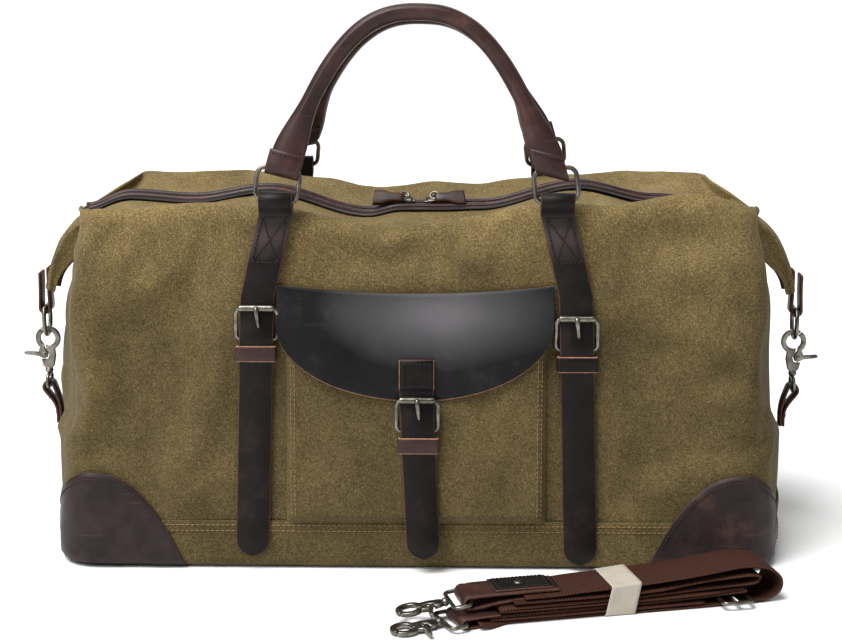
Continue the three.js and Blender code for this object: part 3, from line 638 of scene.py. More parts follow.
def grid_normal(grid, column, row):
    ahead = grid[row][(column + 1) % COLUMNS] - grid[row][(column - 1) % COLUMNS]
    above = grid[min(row + 1, ROWS)][column] - grid[max(row - 1, 0)][column]
    return ahead.cross(above).normalized()


FOLD_INWARD = -8.0
FOLD_OUTWARD = 5.5
PRESSED = 1.0
CANVAS_THICKNESS = 1.5


def make_shell():
    """The canvas as a grid of points with its folds."""
    grid = [[drawn_in(shell_point(column, row)) for column in range(COLUMNS)] for row in range(ROWS + 1)]
    flat = [point for line in grid for point in line]
    moved = simulate_shell(flat)
    result = []
    for row, line in enumerate(grid):
        result.append([])
        for column, point in enumerate(line):
            normal = grid_normal(grid, column, row)
            fold = (moved[row * COLUMNS + column] - point).dot(normal)
            if abs(point.y) > half_depth(point.z) - 6:
                fold += crease_depth(FRONT_CREASES if point.y < 0 else BACK_CREASES, point.x, point.z)
            elif abs(point.x) > 230:
                fold += crease_depth(END_CREASES, point.y, point.z)
            rough = noise.noise(point * 0.016) * 3.6 + noise.noise(point * 0.045) * 1.5
            free = 1 - held_flat(point)
            edge = smooth(row / 3) * smooth((ROWS - row) / 2)
            fold = clamp(fold + rough, FOLD_INWARD, FOLD_OUTWARD) * free * edge - PRESSED * (1 - free)
            result[-1].append(point + normal * fold)
    return result


SHELL = make_shell()


def build_canvas():
    """Front, back, ends and top are one run of cloth, sewn edge to edge."""
    def at(u, v):
        column, row = round(u * COLUMNS) % COLUMNS, round(v * ROWS)
        return SHELL[row][column], grid_normal(SHELL, column, row)

    subdivide(thick_grid("canvas_shell", at, COLUMNS, ROWS, CANVAS_THICKNESS, [CANVAS], "front_panel back_panel "
                         "top_panel_front top_panel_back end_panel_left end_panel_right", closed=True))


# ---- seams and stitches
def stitches(name, paths, thread, body="bag", slot=None, pitch=3.6, length=2.7, width=0.75, lift=0.25):
    """Small flat-ended capsules along paths, which are lists of (point, normal)."""
    parts = []
    for path in paths:
        travelled, due = 0.0, pitch / 2
        for (start, normal), (end, _) in zip(path, path[1:]):
            start, end, normal = Vector(start), Vector(end), Vector(normal).normalized()
            span = (end - start).length
            while due <= travelled + span and span > 0:
                along = (end - start) / span
                centre = start + along * (due - travelled) + normal * lift
                side = normal.cross(along).normalized()
                vertices = [centre + along * place * length + side * x + normal * y
                            for place, scale in ((-0.5, 0.45), (-0.3, 1), (0.3, 1), (0.5, 0.45))
                            for x, y in ring_of(6, width / 2 * scale)]
                parts.append((vertices, tube_faces(4, 6)))
                due += pitch
            travelled += span
    return solid_object(name, parts, [thread], "", body, slot)


def band_path(up, lift):
    """Points round the bag at one height, on the band's outer surface."""
    path = []
    for column in range(COLUMNS + 1):
        (x, y), _ = around(column, up, -lift)
        (ax, ay), _ = around(column + 1, up)
        (bx, by), _ = around(column - 1, up)
        path.append((Vector((x, y, up)), Vector((ay - by, bx - ax, 0))))
    return path


BAND_LIFT = 0.9
# The tray's section from the middle of the base up to its hem, as (up, inset).
BASE_PROFILE = ((0.0, 112), (0.0, 90), (0.0, 50), (0.0, 16), (0.2, 9), (1, 5.4), (2.6, 2.8), (5, 0.8),
                (BASE_EDGE_ROUND, 0.0), (11, -0.2), (18, -0.4), (27, -0.5), (BAND_HEIGHT - 4, -BAND_LIFT),
                (BAND_HEIGHT, -BAND_LIFT), (BAND_HEIGHT + 1.2, -0.5))


def build_base():
    """The bottom band and base in one tray, its hem lapped over the panels and stitched twice."""
    def at(u, v):
        up, inset = BASE_PROFILE[round(v * (len(BASE_PROFILE) - 1))]
        (x, y), _ = around(round(u * COLUMNS), up, inset)
        spot = Vector((x, y, up))
        wobble = noise.noise(spot * 0.03) * 1.2 if 10 < up < 30 else 0
        outward = Vector((x, y, 0)).normalized()
        return spot + outward * wobble * (1 - held_flat(spot)), outward if inset < 3 else Vector((0, 0, -1))

    thick_grid("base_band", at, COLUMNS, len(BASE_PROFILE) - 1, 1.2, [CANVAS], "base_panel", closed=True)
    stitches("band_stitching", [band_path(BAND_HEIGHT - 2.2, BAND_LIFT), band_path(BAND_HEIGHT - 6.5, 0.8)],
             TAN_THREAD, pitch=3.8, length=2.8, width=0.7)


# ---- corner patches
PATCH_FACE_LENGTH = 70
PATCH_END_LENGTH = 36
PATCH_PEAK = 73
PATCH_LIFT = 2.2
PATCH_ARC = LOW_CORNER_RADIUS * pi / 2


def patch_top(along):
    past = along - 6
    fall = (-past / 76) ** 2.4 if past < 0 else (past / 74) ** 1.4
    return max(PATCH_PEAK * (1 - fall), 0)


def patch_place(side, facing, along, up, lift):
    """A point on a patch, measured along the surface from where the corner starts to turn."""
    tuck = BASE_EDGE_ROUND * clamp(1 - up / BASE_EDGE_ROUND) ** 2
    turn = -1 + 0.5 * clamp(along / PATCH_ARC)
    if along > PATCH_ARC:
        turn += (along - PATCH_ARC) / 184
    x, y = end_point(turn, up, tuck - lift)
    return Vector((side * (x + min(along, 0)), -facing * y, up))


def patch_normal(side, facing, along, up):
    ahead = patch_place(side, facing, along + 1, up, 0) - patch_place(side, facing, along - 1, up, 0)
    above = patch_place(side, facing, along, up + 1, 0) - patch_place(side, facing, along, max(up - 1, 0), 0)
    normal = ahead.cross(above).normalized()
    return normal if side * facing < 0 else -normal


def build_patch(name, side, facing):
    def at(u, v):
        along = lerp(-PATCH_FACE_LENGTH, PATCH_ARC + PATCH_END_LENGTH, u)
        up = max(patch_top(along), 1.0) * v
        ripple = noise.noise(Vector((along * side, up, facing * 9)) * 0.05) * 0.7
        return patch_place(side, facing, along, up, PATCH_LIFT + ripple), patch_normal(side, facing, along, up)

    thick_grid(f"patch_{name}", at, 44, 14, 1.9, [PATCH, EDGE], f"corner_patch_{name}")
    path = []
    for step in range(60):
        along = lerp(-PATCH_FACE_LENGTH + 9, PATCH_ARC + PATCH_END_LENGTH - 9, step / 59)
        up = patch_top(along) - 5
        if up > 3:
            path.append((patch_place(side, facing, along, up, PATCH_LIFT + 0.2),
                         patch_normal(side, facing, along, up)))
    stitches(f"patch_stitching_{name}", [path], DARK_THREAD, slot="patch_leather", pitch=3.4, length=2.4,
             width=0.8, lift=0.3)


# ---- shapes shared by straps and metal
COS_SLOPE, SIN_SLOPE = cos(SLOPE), sin(SLOPE)


def on_front(x, out, up):
    """A point given in the front face's own frame."""
    return Vector((x, -BASE_HALF_DEPTH - out * COS_SLOPE + up * SIN_SLOPE, up * COS_SLOPE + out * SIN_SLOPE))


def on_back(x, out, up):
    point = on_front(x, out, up)
    return Vector((-point.x, -point.y, point.z))


def face_normal(out_at, x, up):
    """The normal of a front piece that stands out_at(x, up) from the face."""
    right, left, above, below = (on_front(a, out_at(a, b), b)
                                 for a, b in ((x + 1, up), (x - 1, up), (x, up + 1), (x, up - 1)))
    return (right - left).cross(above - below).normalized()


def arc(centre, radius, start, end, steps):
    angles = [radians(lerp(start, end, i / steps)) for i in range(steps + 1)]
    return [(centre[0] + radius * cos(a), centre[1] + radius * sin(a)) for a in angles]


def softened(line):
    """Cuts the corners of an open line, twice."""
    for _ in range(2):
        cut = [line[0]]
        for start, end in zip(line, line[1:]):
            cut += [tuple(lerp(a, b, part) for a, b in zip(start, end)) for part in (0.25, 0.75)]
        line = cut + [line[-1]]
    return line


def spaced(line, spacing):
    """Points at even steps along a line."""
    line = [Vector(point) for point in line]
    total = sum((b - a).length for a, b in zip(line, line[1:]))
    count = max(2, round(total / spacing))
    result, index, passed = [line[0]], 0, 0.0
    for step in range(1, count):
        goal = total * step / count
        while passed + (line[index + 1] - line[index]).length < goal:
            passed += (line[index + 1] - line[index]).length
            index += 1
        span = (line[index + 1] - line[index]).length
        result.append(line[index].lerp(line[index + 1], (goal - passed) / span))
    return result + [line[-1]]


THREAD_SCALE = 0.14
SECTION_SIZE = 10
RIM_STEPS = (0, 1, 5, 6, 7, 9)


def ribbon(name, line, place, half_width, thickness, materials, replaces="", body="bag", slot=None,
           centre=None, tips=(0, 0), spacing=3.0, dome=0.25):
    """A leather strip along a line of (out, up); its narrow sides take material 1.

    tips are the radii of rounded ends; half_width is a number or a function of the part along."""
    line = spaced(softened(line), spacing)
    lengths = [0.0]
    for start, end in zip(line, line[1:]):
        lengths.append(lengths[-1] + (end - start).length)
    total = lengths[-1]
    vertices, threads = [], []
    h, q = thickness / 2, thickness / 4
    for index, point in enumerate(line):
        ahead = line[min(index + 1, len(line) - 1)] - line[max(index - 1, 0)]
        normal = Vector((ahead.y, -ahead.x)).normalized()
        wide = half_width(lengths[index] / total) if callable(half_width) else half_width
        for radius, distance in zip(tips, (lengths[index], total - lengths[index])):
            if distance < radius:
                wide = min(wide, max(sqrt(radius ** 2 - (radius - distance) ** 2), 1.6))
        middle = centre(point.y) if centre else 0.0
        grain = noise.noise(Vector((middle, point.x, point.y)) * 0.03) * 0.35
        section = ((-wide, -q), (-wide, q), (-wide + 0.55, h), (-wide * 0.45, h + dome), (wide * 0.45, h + dome),
                   (wide - 0.55, h), (wide, q), (wide, -q), (wide - 0.55, -h), (-wide + 0.55, -h))
        for across, lift in section:
            spot = point + normal * (lift + (grain if lift > 0 else 0))
            vertices.append(place(middle + across, spot.x, spot.y))
            threads.append((lengths[index] * THREAD_SCALE, across * THREAD_SCALE))
    piece = new_object(name, vertices, tube_faces(len(line), SECTION_SIZE), materials, replaces, body, slot)
    walls = (len(line) - 1) * SECTION_SIZE
    if len(materials) > 1:
        for index, polygon in enumerate(piece.data.polygons):
            polygon.material_index = int(index >= walls or index % SECTION_SIZE in RIM_STEPS)
    layer = piece.data.uv_layers.new(name="threads")
    for loop in piece.data.loops:
        layer.data[loop.index].uv = threads[loop.vertex_index]
    return piece


def rounded_box_line(half_wide, half_high, radius, steps=5):
    """Centre line of a rectangle with round corners, as (x, up)."""
    line = []
    for x, y, start in ((1, 1, 0), (-1, 1, 90), (-1, -1, 180), (1, -1, 270)):
        line += arc((x * (half_wide - radius), y * (half_high - radius)), radius, start, start + 90, steps)
    return line


def placed(part, place):
    vertices, faces = part
    return [place(Vector(vertex)) for vertex in vertices], faces


def plate(outline, thickness, bevel=0.5):
    """A flat plate with round edges from its closed outline."""
    curve = bpy.data.curves.new("plate", "CURVE")
    curve.dimensions = "2D"
    curve.fill_mode = "BOTH"
    curve.extrude = thickness / 2 - bevel
    curve.bevel_depth = bevel
    curve.bevel_resolution = 2
    curve.offset = -bevel
    spline = curve.splines.new("POLY")
    spline.points.add(len(outline) - 1)
    for point, (x, y) in zip(spline.points, outline):
        point.co = (x, y, 0, 1)
    spline.use_cyclic_u = True
    holder = add_object("plate", curve)
    mesh = bpy.data.meshes.new_from_object(holder.evaluated_get(bpy.context.evaluated_depsgraph_get()))
    shape = bmesh.new()
    shape.from_mesh(mesh)
    bmesh.ops.remove_doubles(shape, verts=shape.verts, dist=0.01)
    vertices = [vertex.co.copy() for vertex in shape.verts]
    faces = [tuple(vertex.index for vertex in face.verts) for face in shape.faces]
    shape.free()
    bpy.data.objects.remove(holder)
    bpy.data.curves.remove(curve)
    bpy.data.meshes.remove(mesh)
    return vertices, faces


def rivet(centre, outward, radius, height):
    """A low round head, its dome facing outward."""
    turn = Vector(outward).normalized().to_track_quat("Z", "Y").to_matrix()
    profile = ((radius, 0), (radius, height * 0.35), (radius * 0.82, height * 0.75), (radius * 0.45, height),
               (0.05, height))
    vertices = [Vector(centre) + turn @ Vector((x, y, lift))
                for reach, lift in profile for x, y in ring_of(14, reach)]
    return vertices, tube_faces(len(profile), 14)


# ---- pocket and flap
POCKET_HALF_WIDTH = 97
POCKET_TOP = 200
POCKET_LOW = 36
POCKET_DEPTH = 7.5
POCKET_CREASES = (
    ((-80, 170), (-30, 110), 12, -1.8), ((78, 175), (40, 120), 12, -1.8), ((-88, 90), (-60, 50), 9, -1.4),
    ((86, 96), (62, 48), 9, -1.6), ((-40, 60), (-10, 110), 12, 1.0), ((30, 60), (64, 90), 11, 1.0),
)



def pocket_out(x, up):
    """How far the pocket's front stands out from the face."""
    held = smooth((POCKET_HALF_WIDTH - abs(x)) / 6) * smooth((up - POCKET_LOW) / 6)
    belly = 1.6 * cos(pi * x / 200) * sin(pi * clamp((up - 36) / 164))
    folds = crease_depth(POCKET_CREASES, x, up) * 0.6 + noise.noise(Vector((x, up, 3)) * 0.035) * 0.9
    mouth = lerp(1, 0.38, smooth((up - 158) / 42))
    return 0.6 + (POCKET_DEPTH - 0.6) * held * mouth + clamp(belly + folds, -1.2, 1.4) * held


def build_pocket():
    near = [0.93, 0.95, 0.97, 0.985, 1]
    stops = [-stop for stop in near[::-1]] + [lerp(-0.9, 0.9, i / 36) for i in range(37)] + near
    levels = [POCKET_LOW - 1, 37, 39, 41, 43] + [lerp(46, POCKET_TOP, i / 30) for i in range(31)]

    def at(u, v):
        x = stops[round(u * (len(stops) - 1))] * POCKET_HALF_WIDTH
        up = levels[round(v * (len(levels) - 1))]
        return on_front(x, pocket_out(x, up), up), face_normal(pocket_out, x, up)

    subdivide(thick_grid("pocket", at, len(stops) - 1, len(levels) - 1, 1.1, [CANVAS], "pocket_panel"))
    rows = []
    for side in (-1, 1):
        for x in (side * (POCKET_HALF_WIDTH - 4.2), side * (POCKET_HALF_WIDTH - 7.2)):
            ups = [lerp(42, 196, step / 79) for step in range(78)]
            rows.append([(on_front(x, pocket_out(x, up), up), (side * 0.5, -1, 0)) for up in ups])
    stitches("pocket_stitching", rows, TAN_THREAD, length=2.5, width=0.65, lift=0.2)


FLAP_HALF_WIDTH = 102.5
FLAP_HINGE_UP = 213
FLAP_LOW = 129.5
FLAP_OUT = 9.1
FLAP_SHIFT = -1.0


def flap_edge(x):
    return FLAP_LOW + 58 * (1 - sqrt(max(0, 1 - (x / (FLAP_HALF_WIDTH + 0.5)) ** 2)))


def flap_top(x):
    """The flap's seam sags a little in the middle."""
    return FLAP_HINGE_UP + 2 - 6 * (1 - (x / FLAP_HALF_WIDTH) ** 2)


def flap_out(x, up):
    down = FLAP_HINGE_UP - up
    fall = smooth((down + 4) / 50)
    belly = 1.6 * cos(pi * x / 230) * sin(pi * clamp(down / 84))
    wave = noise.noise(Vector((x, up, 11)) * 0.022) * 1.5 + noise.noise(Vector((x, up, 5)) * 0.06) * 0.3
    curl = 1.4 * smooth((abs(x) - 70) / 30)
    return 2.9 + (FLAP_OUT - 1.4) * fall + (belly + wave - curl) * fall


def build_flap():
    columns, rows = 64, 26

    def at(u, v):
        x = -FLAP_HALF_WIDTH * cos(pi * u)
        part = 0.0 if v == 0 else lerp(0.011, 1, (v * rows - 1) / (rows - 1))
        up = lerp(flap_edge(x), flap_top(x), part)
        out = flap_out(x, up) + (-0.9 if u in (0.0, 1.0) or v == 0 else 0.0)
        return on_front(x + FLAP_SHIFT, out, up), face_normal(flap_out, x, up)

    flap = thick_grid("flap_leather", at, columns, rows, 2.0, [FLAP, PALE_EDGE], "pocket_flap", "flap")
    paint_rows(flap, columns, (0,))


# ---- straps, buckles and keepers
STRAP_HALF = 12.5
STRAP_THICKNESS = 2.6
BUCKLE_LEVEL = {"left": 186, "right": 179}
TAIL_END = {"left": 11, "right": 5}
FLAP_LEVEL = 119.5
FLAP_BASE = 10.2
BUCKLE_TILT = radians(7.5)
BUCKLE_WIRE = 1.65
BUCKLE_HALF_WIDTH = 17
BUCKLE_HALF_HEIGHT = 13.5
KEEPER_HALF_WIDTH = 15
KEEPER_HALF_DEPTH = 3.8
KEEPER_LENGTH = 12
# The rings' lower bar as (out, up) on the face, and the radius of the strap's loop round it.
RING_BAR = (7.3, 277)
LOOP_RADIUS = 5.7


def build_buckle(suffix, nodes, centre, base, level, body, prong_body):
    """nodes are the names of the CAD's frame and prong; base lifts the buckle off the face."""
    def place(point):
        out = 3.65 + base + point.y * sin(BUCKLE_TILT) + point.z * cos(BUCKLE_TILT)
        up = level + point.y * cos(BUCKLE_TILT) - point.z * sin(BUCKLE_TILT)
        return on_front(centre + point.x, out, up)

    half_wide, half_high = BUCKLE_HALF_WIDTH - BUCKLE_WIRE, BUCKLE_HALF_HEIGHT - BUCKLE_WIRE
    line = [(x, y, 0) for x, y in rounded_box_line(half_wide, half_high, 4.5)]
    sleeve = [(lerp(-13.6, 13.6, i / 14), 11.85, 0) for i in range(15)]
    parts = [sweep(line, BUCKLE_WIRE, 12, closed=True),
             sweep(sleeve, 2.5, 16, taper=lambda part: 1 if 0.04 < part < 0.96 else 0.9)]
    solid_object(f"buckle{suffix}", [placed(part, place) for part in parts], [NICKEL], nodes[0], body)
    needle = [(0, 12.4, 1.2), (0, 11, 3.0), (0.3, 8, 3.4), (0.9, 3, 3.0), (1.4, -1.5, 1.9), (1.6, -3.4, 0.6)]
    bar = sweep(spaced(softened(needle), 1.2), 1.75, 12, taper=lambda part: lerp(1.15, 0.6, part))
    solid_object(f"prong{suffix}", [placed(bar, place)], [NICKEL], nodes[1], prong_body)


def build_keeper(name, node, centre, base, level, body, leather=HANDLE):
    loop = rounded_box_line(KEEPER_HALF_WIDTH, KEEPER_HALF_DEPTH, 2.2, 4)

    def at(u, v):
        x, out = loop[round(u * len(loop)) % len(loop)]
        part = (0, 0.07, 0.3, 0.5, 0.7, 0.93, 1)[round(v * 6)]
        bow = 0.3 * sin(pi * v) - (0.7 if v in (0.0, 1.0) else 0)
        direction = Vector((x / KEEPER_HALF_WIDTH, out / KEEPER_HALF_DEPTH)).normalized()
        x, out = x + direction.x * bow, out + direction.y * bow
        normal = on_front(direction.x, direction.y, 0) - on_front(0, 0, 0)
        return on_front(centre + x, 4.1 + base + out, level + KEEPER_LENGTH * (part - 0.5)), normal.normalized()

    keeper = thick_grid(name, at, len(loop), 6, 1.3, [leather, PALE_EDGE], node, body, closed=True)
    paint_rows(keeper, len(loop), (0, 5))


def box_stitch(centre, out, low, high, half, place=on_front):
    """A stitched box with its two diagonals."""
    outward = place(0, 1, 0) - place(0, 0, 0)

    def row(x0, up0, x1, up1):
        path = []
        for step in range(24):
            up = lerp(up0, up1, step / 23)
            path.append((place(centre(up) + lerp(x0, x1, step / 23), out, up), outward))
        return path

    return [row(-half, low, -half, high), row(half, low, half, high), row(-half, high, half, high),
            row(-half, low, half, low), row(-half, low, half, high), row(half, low, -half, high)]


def build_straps():
    loop = [(1.6, 236), (1.6, 268)] + arc(RING_BAR, LOOP_RADIUS, 200, -35, 10)
    for name, side in LEFT_RIGHT:
        level = BUCKLE_LEVEL[name]

        def centre(up, side=side):
            return side * strap_x(up)

        def back_centre(up, side=side):
            return -side * strap_x(up)

        line = loop + [(4.5, 267), (4.5, 256), (4.5, 226), (2.0, 216), (1.9, level + 10), (5.6, level - 8.5),
                       (5.5, level - 13.5), (4.1, level - 17.5), (4.1, level - 28), (1.9, level - 38),
                       (1.9, TAIL_END[name])]
        ribbon(f"strap_leather_{name}", line, on_front, STRAP_HALF, STRAP_THICKNESS, [STRAP, EDGE],
               f"strap_{name}", centre=centre, tips=(0, STRAP_HALF))
        stitches(f"strap_stitching_{name}", box_stitch(centre, 6.25, 232, 265, 9.4), LEATHER_THREAD,
                 pitch=3.1, length=2.1, width=1.15, lift=0.15)
        build_buckle(f"_{name}", (f"buckle_frame_{name}", f"buckle_prong_{name}"), centre(level), 0, level,
                     "bag", f"prong_{name}")
        build_keeper(f"keeper_leather_{name}", f"keeper_{name}", centre(level - 22), 0, level - 22, "bag",
                     STRAP if side > 0 else HANDLE)
        ribbon(f"back_strap_leather_{name}", loop + [(4.5, 263), (4.5, 204), (1.9, 190), (1.9, POCKET_LOW)],
               on_back, STRAP_HALF, STRAP_THICKNESS, [STRAP, EDGE], f"back_strap_{name}", centre=back_centre)
        stitches(f"back_strap_stitching_{name}", box_stitch(back_centre, 6.15, 210, 262, 9.3, on_back),
                 LEATHER_THREAD, pitch=3.0, length=2.1, width=0.7, lift=0.1)


def flap_strap_x(up):
    return 0.4 + max(0, 131 - up) * 0.045


def build_flap_strap():
    line = [(12.5, 158), (12.4, 140), (12.3, 128), (15.8, 111), (15.7, 106), (14.3, 102), (14.3, 91),
            (10.6, 76), (10.6, 11)]
    ribbon("flap_strap_leather", line, on_front, STRAP_HALF, STRAP_THICKNESS, [STRAP, EDGE], "flap_strap",
           "flap", centre=flap_strap_x, tips=(0, STRAP_HALF))
    ribbon("flap_tab_leather", [(13.2, 161), (13.4, 150), (13.3, 138.5)], on_front, 13, 2.2,
           [STRAP, PALE_EDGE], body="flap", centre=lambda up: 0.4)
    stitches("flap_tab_stitching", box_stitch(lambda up: 0.4, 14.6, 141.5, 158, 9.8)[:4], LEATHER_THREAD,
             "flap", pitch=2.8, length=1.9, width=1.0)
    build_buckle("_flap", ("flap_buckle_frame", "flap_buckle_prong"), 0.9, FLAP_BASE, FLAP_LEVEL, "flap",
                 "flap_prong")
    build_keeper("flap_keeper_leather", "flap_keeper", flap_strap_x(97.5), FLAP_BASE, 97.5, "flap")


# ---- handle rings and handles
RING_X = 103
RING_TILT = radians(6)
RING_HALF_WIDTH = 15.7
RING_RISE = 24.4
RING_WIRE = 1.8
HANDLE_FOOT_X = RING_X - RING_RISE * sin(RING_TILT) - 3
HANDLE_FOOT_UP = RING_RISE * cos(RING_TILT)
HANDLE_RISE = 114
HANDLE_RADIUS = 6.6
HANDLE_FOOT_WIDE = 12.4
HANDLE_FOOT_DEEP = 6.4
HANDLE_STATIONS = 84
HANDLE_SIDES = 20
FOOT_SLANT = radians(-14)


def build_handle(place, turned, lean):
    """One handle and its two rings; turned is 1 on the front and -1 on the back."""
    bar = on_front(0, *RING_BAR)

    def put(point):
        """Maps (x, depth, up) about the rings' lower bars to the bag."""
        y = bar.y + point.y * cos(lean) + point.z * sin(lean)
        z = bar.z + point.z * cos(lean) - point.y * sin(lean)
        return Vector((turned * point.x, turned * y, z))

    build_handle_roll(place, put)
    rows = []
    for side in (-1, 1):
        name = "left" if side * turned < 0 else "right"
        line = []
        for x, up in rounded_box_line(RING_HALF_WIDTH, RING_RISE / 2, 6.5):
            up += RING_RISE / 2
            line.append((side * RING_X + x * cos(RING_TILT) - side * up * sin(RING_TILT), 0,
                         up * cos(RING_TILT) + side * x * sin(RING_TILT)))
        solid_object(f"{place}_ring_metal_{name}", [placed(sweep(line, RING_WIRE, 12, closed=True), put)], [NICKEL],
                     f"{place}_ring_{name}", f"{place}_rings")

        def spot(x, out, up, side=side):
            across = HANDLE_FOOT_X + side * x * cos(RING_TILT) - up * sin(RING_TILT) * 2.6
            return put(Vector((side * across, -out, up + HANDLE_FOOT_UP + x * sin(FOOT_SLANT))))

        line = [(5.2, 11), (5.8, 6)] + arc((0, 0), LOOP_RADIUS, 0, -180, 12) + [(-5.8, 6), (-5.2, 11)]
        ribbon(f"{place}_handle_foot_{name}", line, spot, 12.2, 2.3, [HANDLE, EDGE], "", f"{place}_handle",
               "handle_leather", spacing=1.6)
        for out in (7.3, -7.3):
            outward = put(Vector((0, -out, 0))) - put(Vector((0, 0, 0)))
            rows.append([(spot(lerp(-10.6, 10.6, i / 12), out, 8.3), outward) for i in range(13)])
    stitches(f"{place}_handle_stitching", rows, LEATHER_THREAD, f"{place}_handle", "handle_leather", pitch=2.8,
             length=1.9, width=1.0)


def build_handle_roll(place, put):
    centres = []
    for index in range(HANDLE_STATIONS + 1):
        reach = sin(lerp(-1, 1, index / HANDLE_STATIONS) * pi / 2) * 0.985
        centres.append(Vector((HANDLE_FOOT_X * reach, 0, HANDLE_RISE * (1 - abs(reach) ** 2.5))))
    vertices = []
    for index, centre in enumerate(centres):
        along = (centres[min(index + 1, HANDLE_STATIONS)] - centres[max(index - 1, 0)]).normalized()
        outward = Vector((along.z, 0, -along.x))
        foot = smooth((52 - centre.z) / 42)
        wide = lerp(HANDLE_RADIUS, HANDLE_FOOT_WIDE, foot)
        deep = lerp(HANDLE_RADIUS, HANDLE_FOOT_DEEP, foot)
        for step in range(HANDLE_SIDES):
            angle = 2 * pi * step / HANDLE_SIDES
            dent = noise.noise(Vector((centre.x, angle * 5, centre.z)) * 0.06) * 0.25
            seam = 0.55 if step in (14, 16) else -0.35 if step == 15 else 0
            spot = centre + outward * (wide + dent) * cos(angle)
            spot.y += (deep + dent + seam * (1 - foot)) * sin(angle)
            spot.z += HANDLE_FOOT_UP
            vertices.append(put(spot))
    roll = (vertices, tube_faces(HANDLE_STATIONS + 1, HANDLE_SIDES))
    subdivide(solid_object(f"{place}_handle_roll", [roll], [HANDLE], f"{place}_handle", f"{place}_handle",
                           "handle_leather"))


# ---- zip
ZIP_SLOPE = atan2(21, 120)
ZIP_STEPS = 120
TEETH_COUNT = 380
TAPE_HALF_WIDTH = 7.6
FACING_EDGE = 13.5
PIPING_RADIUS = 2.7
PULL_WIRE = 0.85
PULL_TILT = radians(48)
UPWARD = Vector((0, 0, 1))


def zip_point(x, y, lift):
    return Vector((x, y, zip_height(x) + lift))


def zip_strip(name, first, last, lifts, rows, thickness, material, replaces=""):
    """A strip along the zip between two distances from its middle line."""
    def at(u, v):
        return zip_point(lerp(-ZIP_END_X, ZIP_END_X, u), lerp(first, last, v), lerp(*lifts, v)), UPWARD

    thick_grid(name, at, ZIP_STEPS, rows, thickness, [material], replaces)


def build_zip():
    zip_strip("zip_tape", -TAPE_HALF_WIDTH, TAPE_HALF_WIDTH, (0.9, 0.9), 4, 1.0, ZIP_TAPE, "zipper_chain")
    teeth = []
    for index in range(TEETH_COUNT):
        x = lerp(-ZIP_END_X + 3, ZIP_END_X - 3, (index + 0.5) / TEETH_COUNT)
        side = 1 if index % 2 else -1
        if abs(x) >= 3.4:
            corners = [zip_point(x + dx, side * y, up) for up in (1.8, 3.2)
                       for dx, y in ((-0.42, -0.6), (0.42, -0.6), (0.5, 1.8), (-0.5, 1.8))]
            teeth.append((corners, tube_faces(2, 4)))
    solid_object("zip_teeth", teeth, [TEETH])
    for place, side in (("front", -1), ("back", 1)):
        piping = [zip_point(lerp(-ZIP_END_X - 6, ZIP_END_X + 6, i / ZIP_STEPS), side * 4.9, 2.2 + 0.8 * side)
                  for i in range(ZIP_STEPS + 1)]
        solid_object(f"zip_piping_{place}", [sweep(piping, PIPING_RADIUS, 12)], [HANDLE])
        zip_strip(f"zip_facing_{place}", side * TAPE_HALF_WIDTH, side * FACING_EDGE, (1.8, 1.0), 3, 1.2, STRAP)
    for name, side in LEFT_RIGHT:
        build_zip_slider(name, side)
        tab = plate([(-5, -7.5), (4.5, -6.5), (5.5, 0), (4.5, 6.5), (-5, 7.5)], 1.8)
        end = zip_height(ZIP_END_X) + 4.4
        tab = placed(tab, lambda p: Vector((side * (ZIP_END_X + 1 - p.x * 0.9), p.y, end + p.z)))
        solid_object(f"zip_end_tab_{name}", [tab], [STRAP])


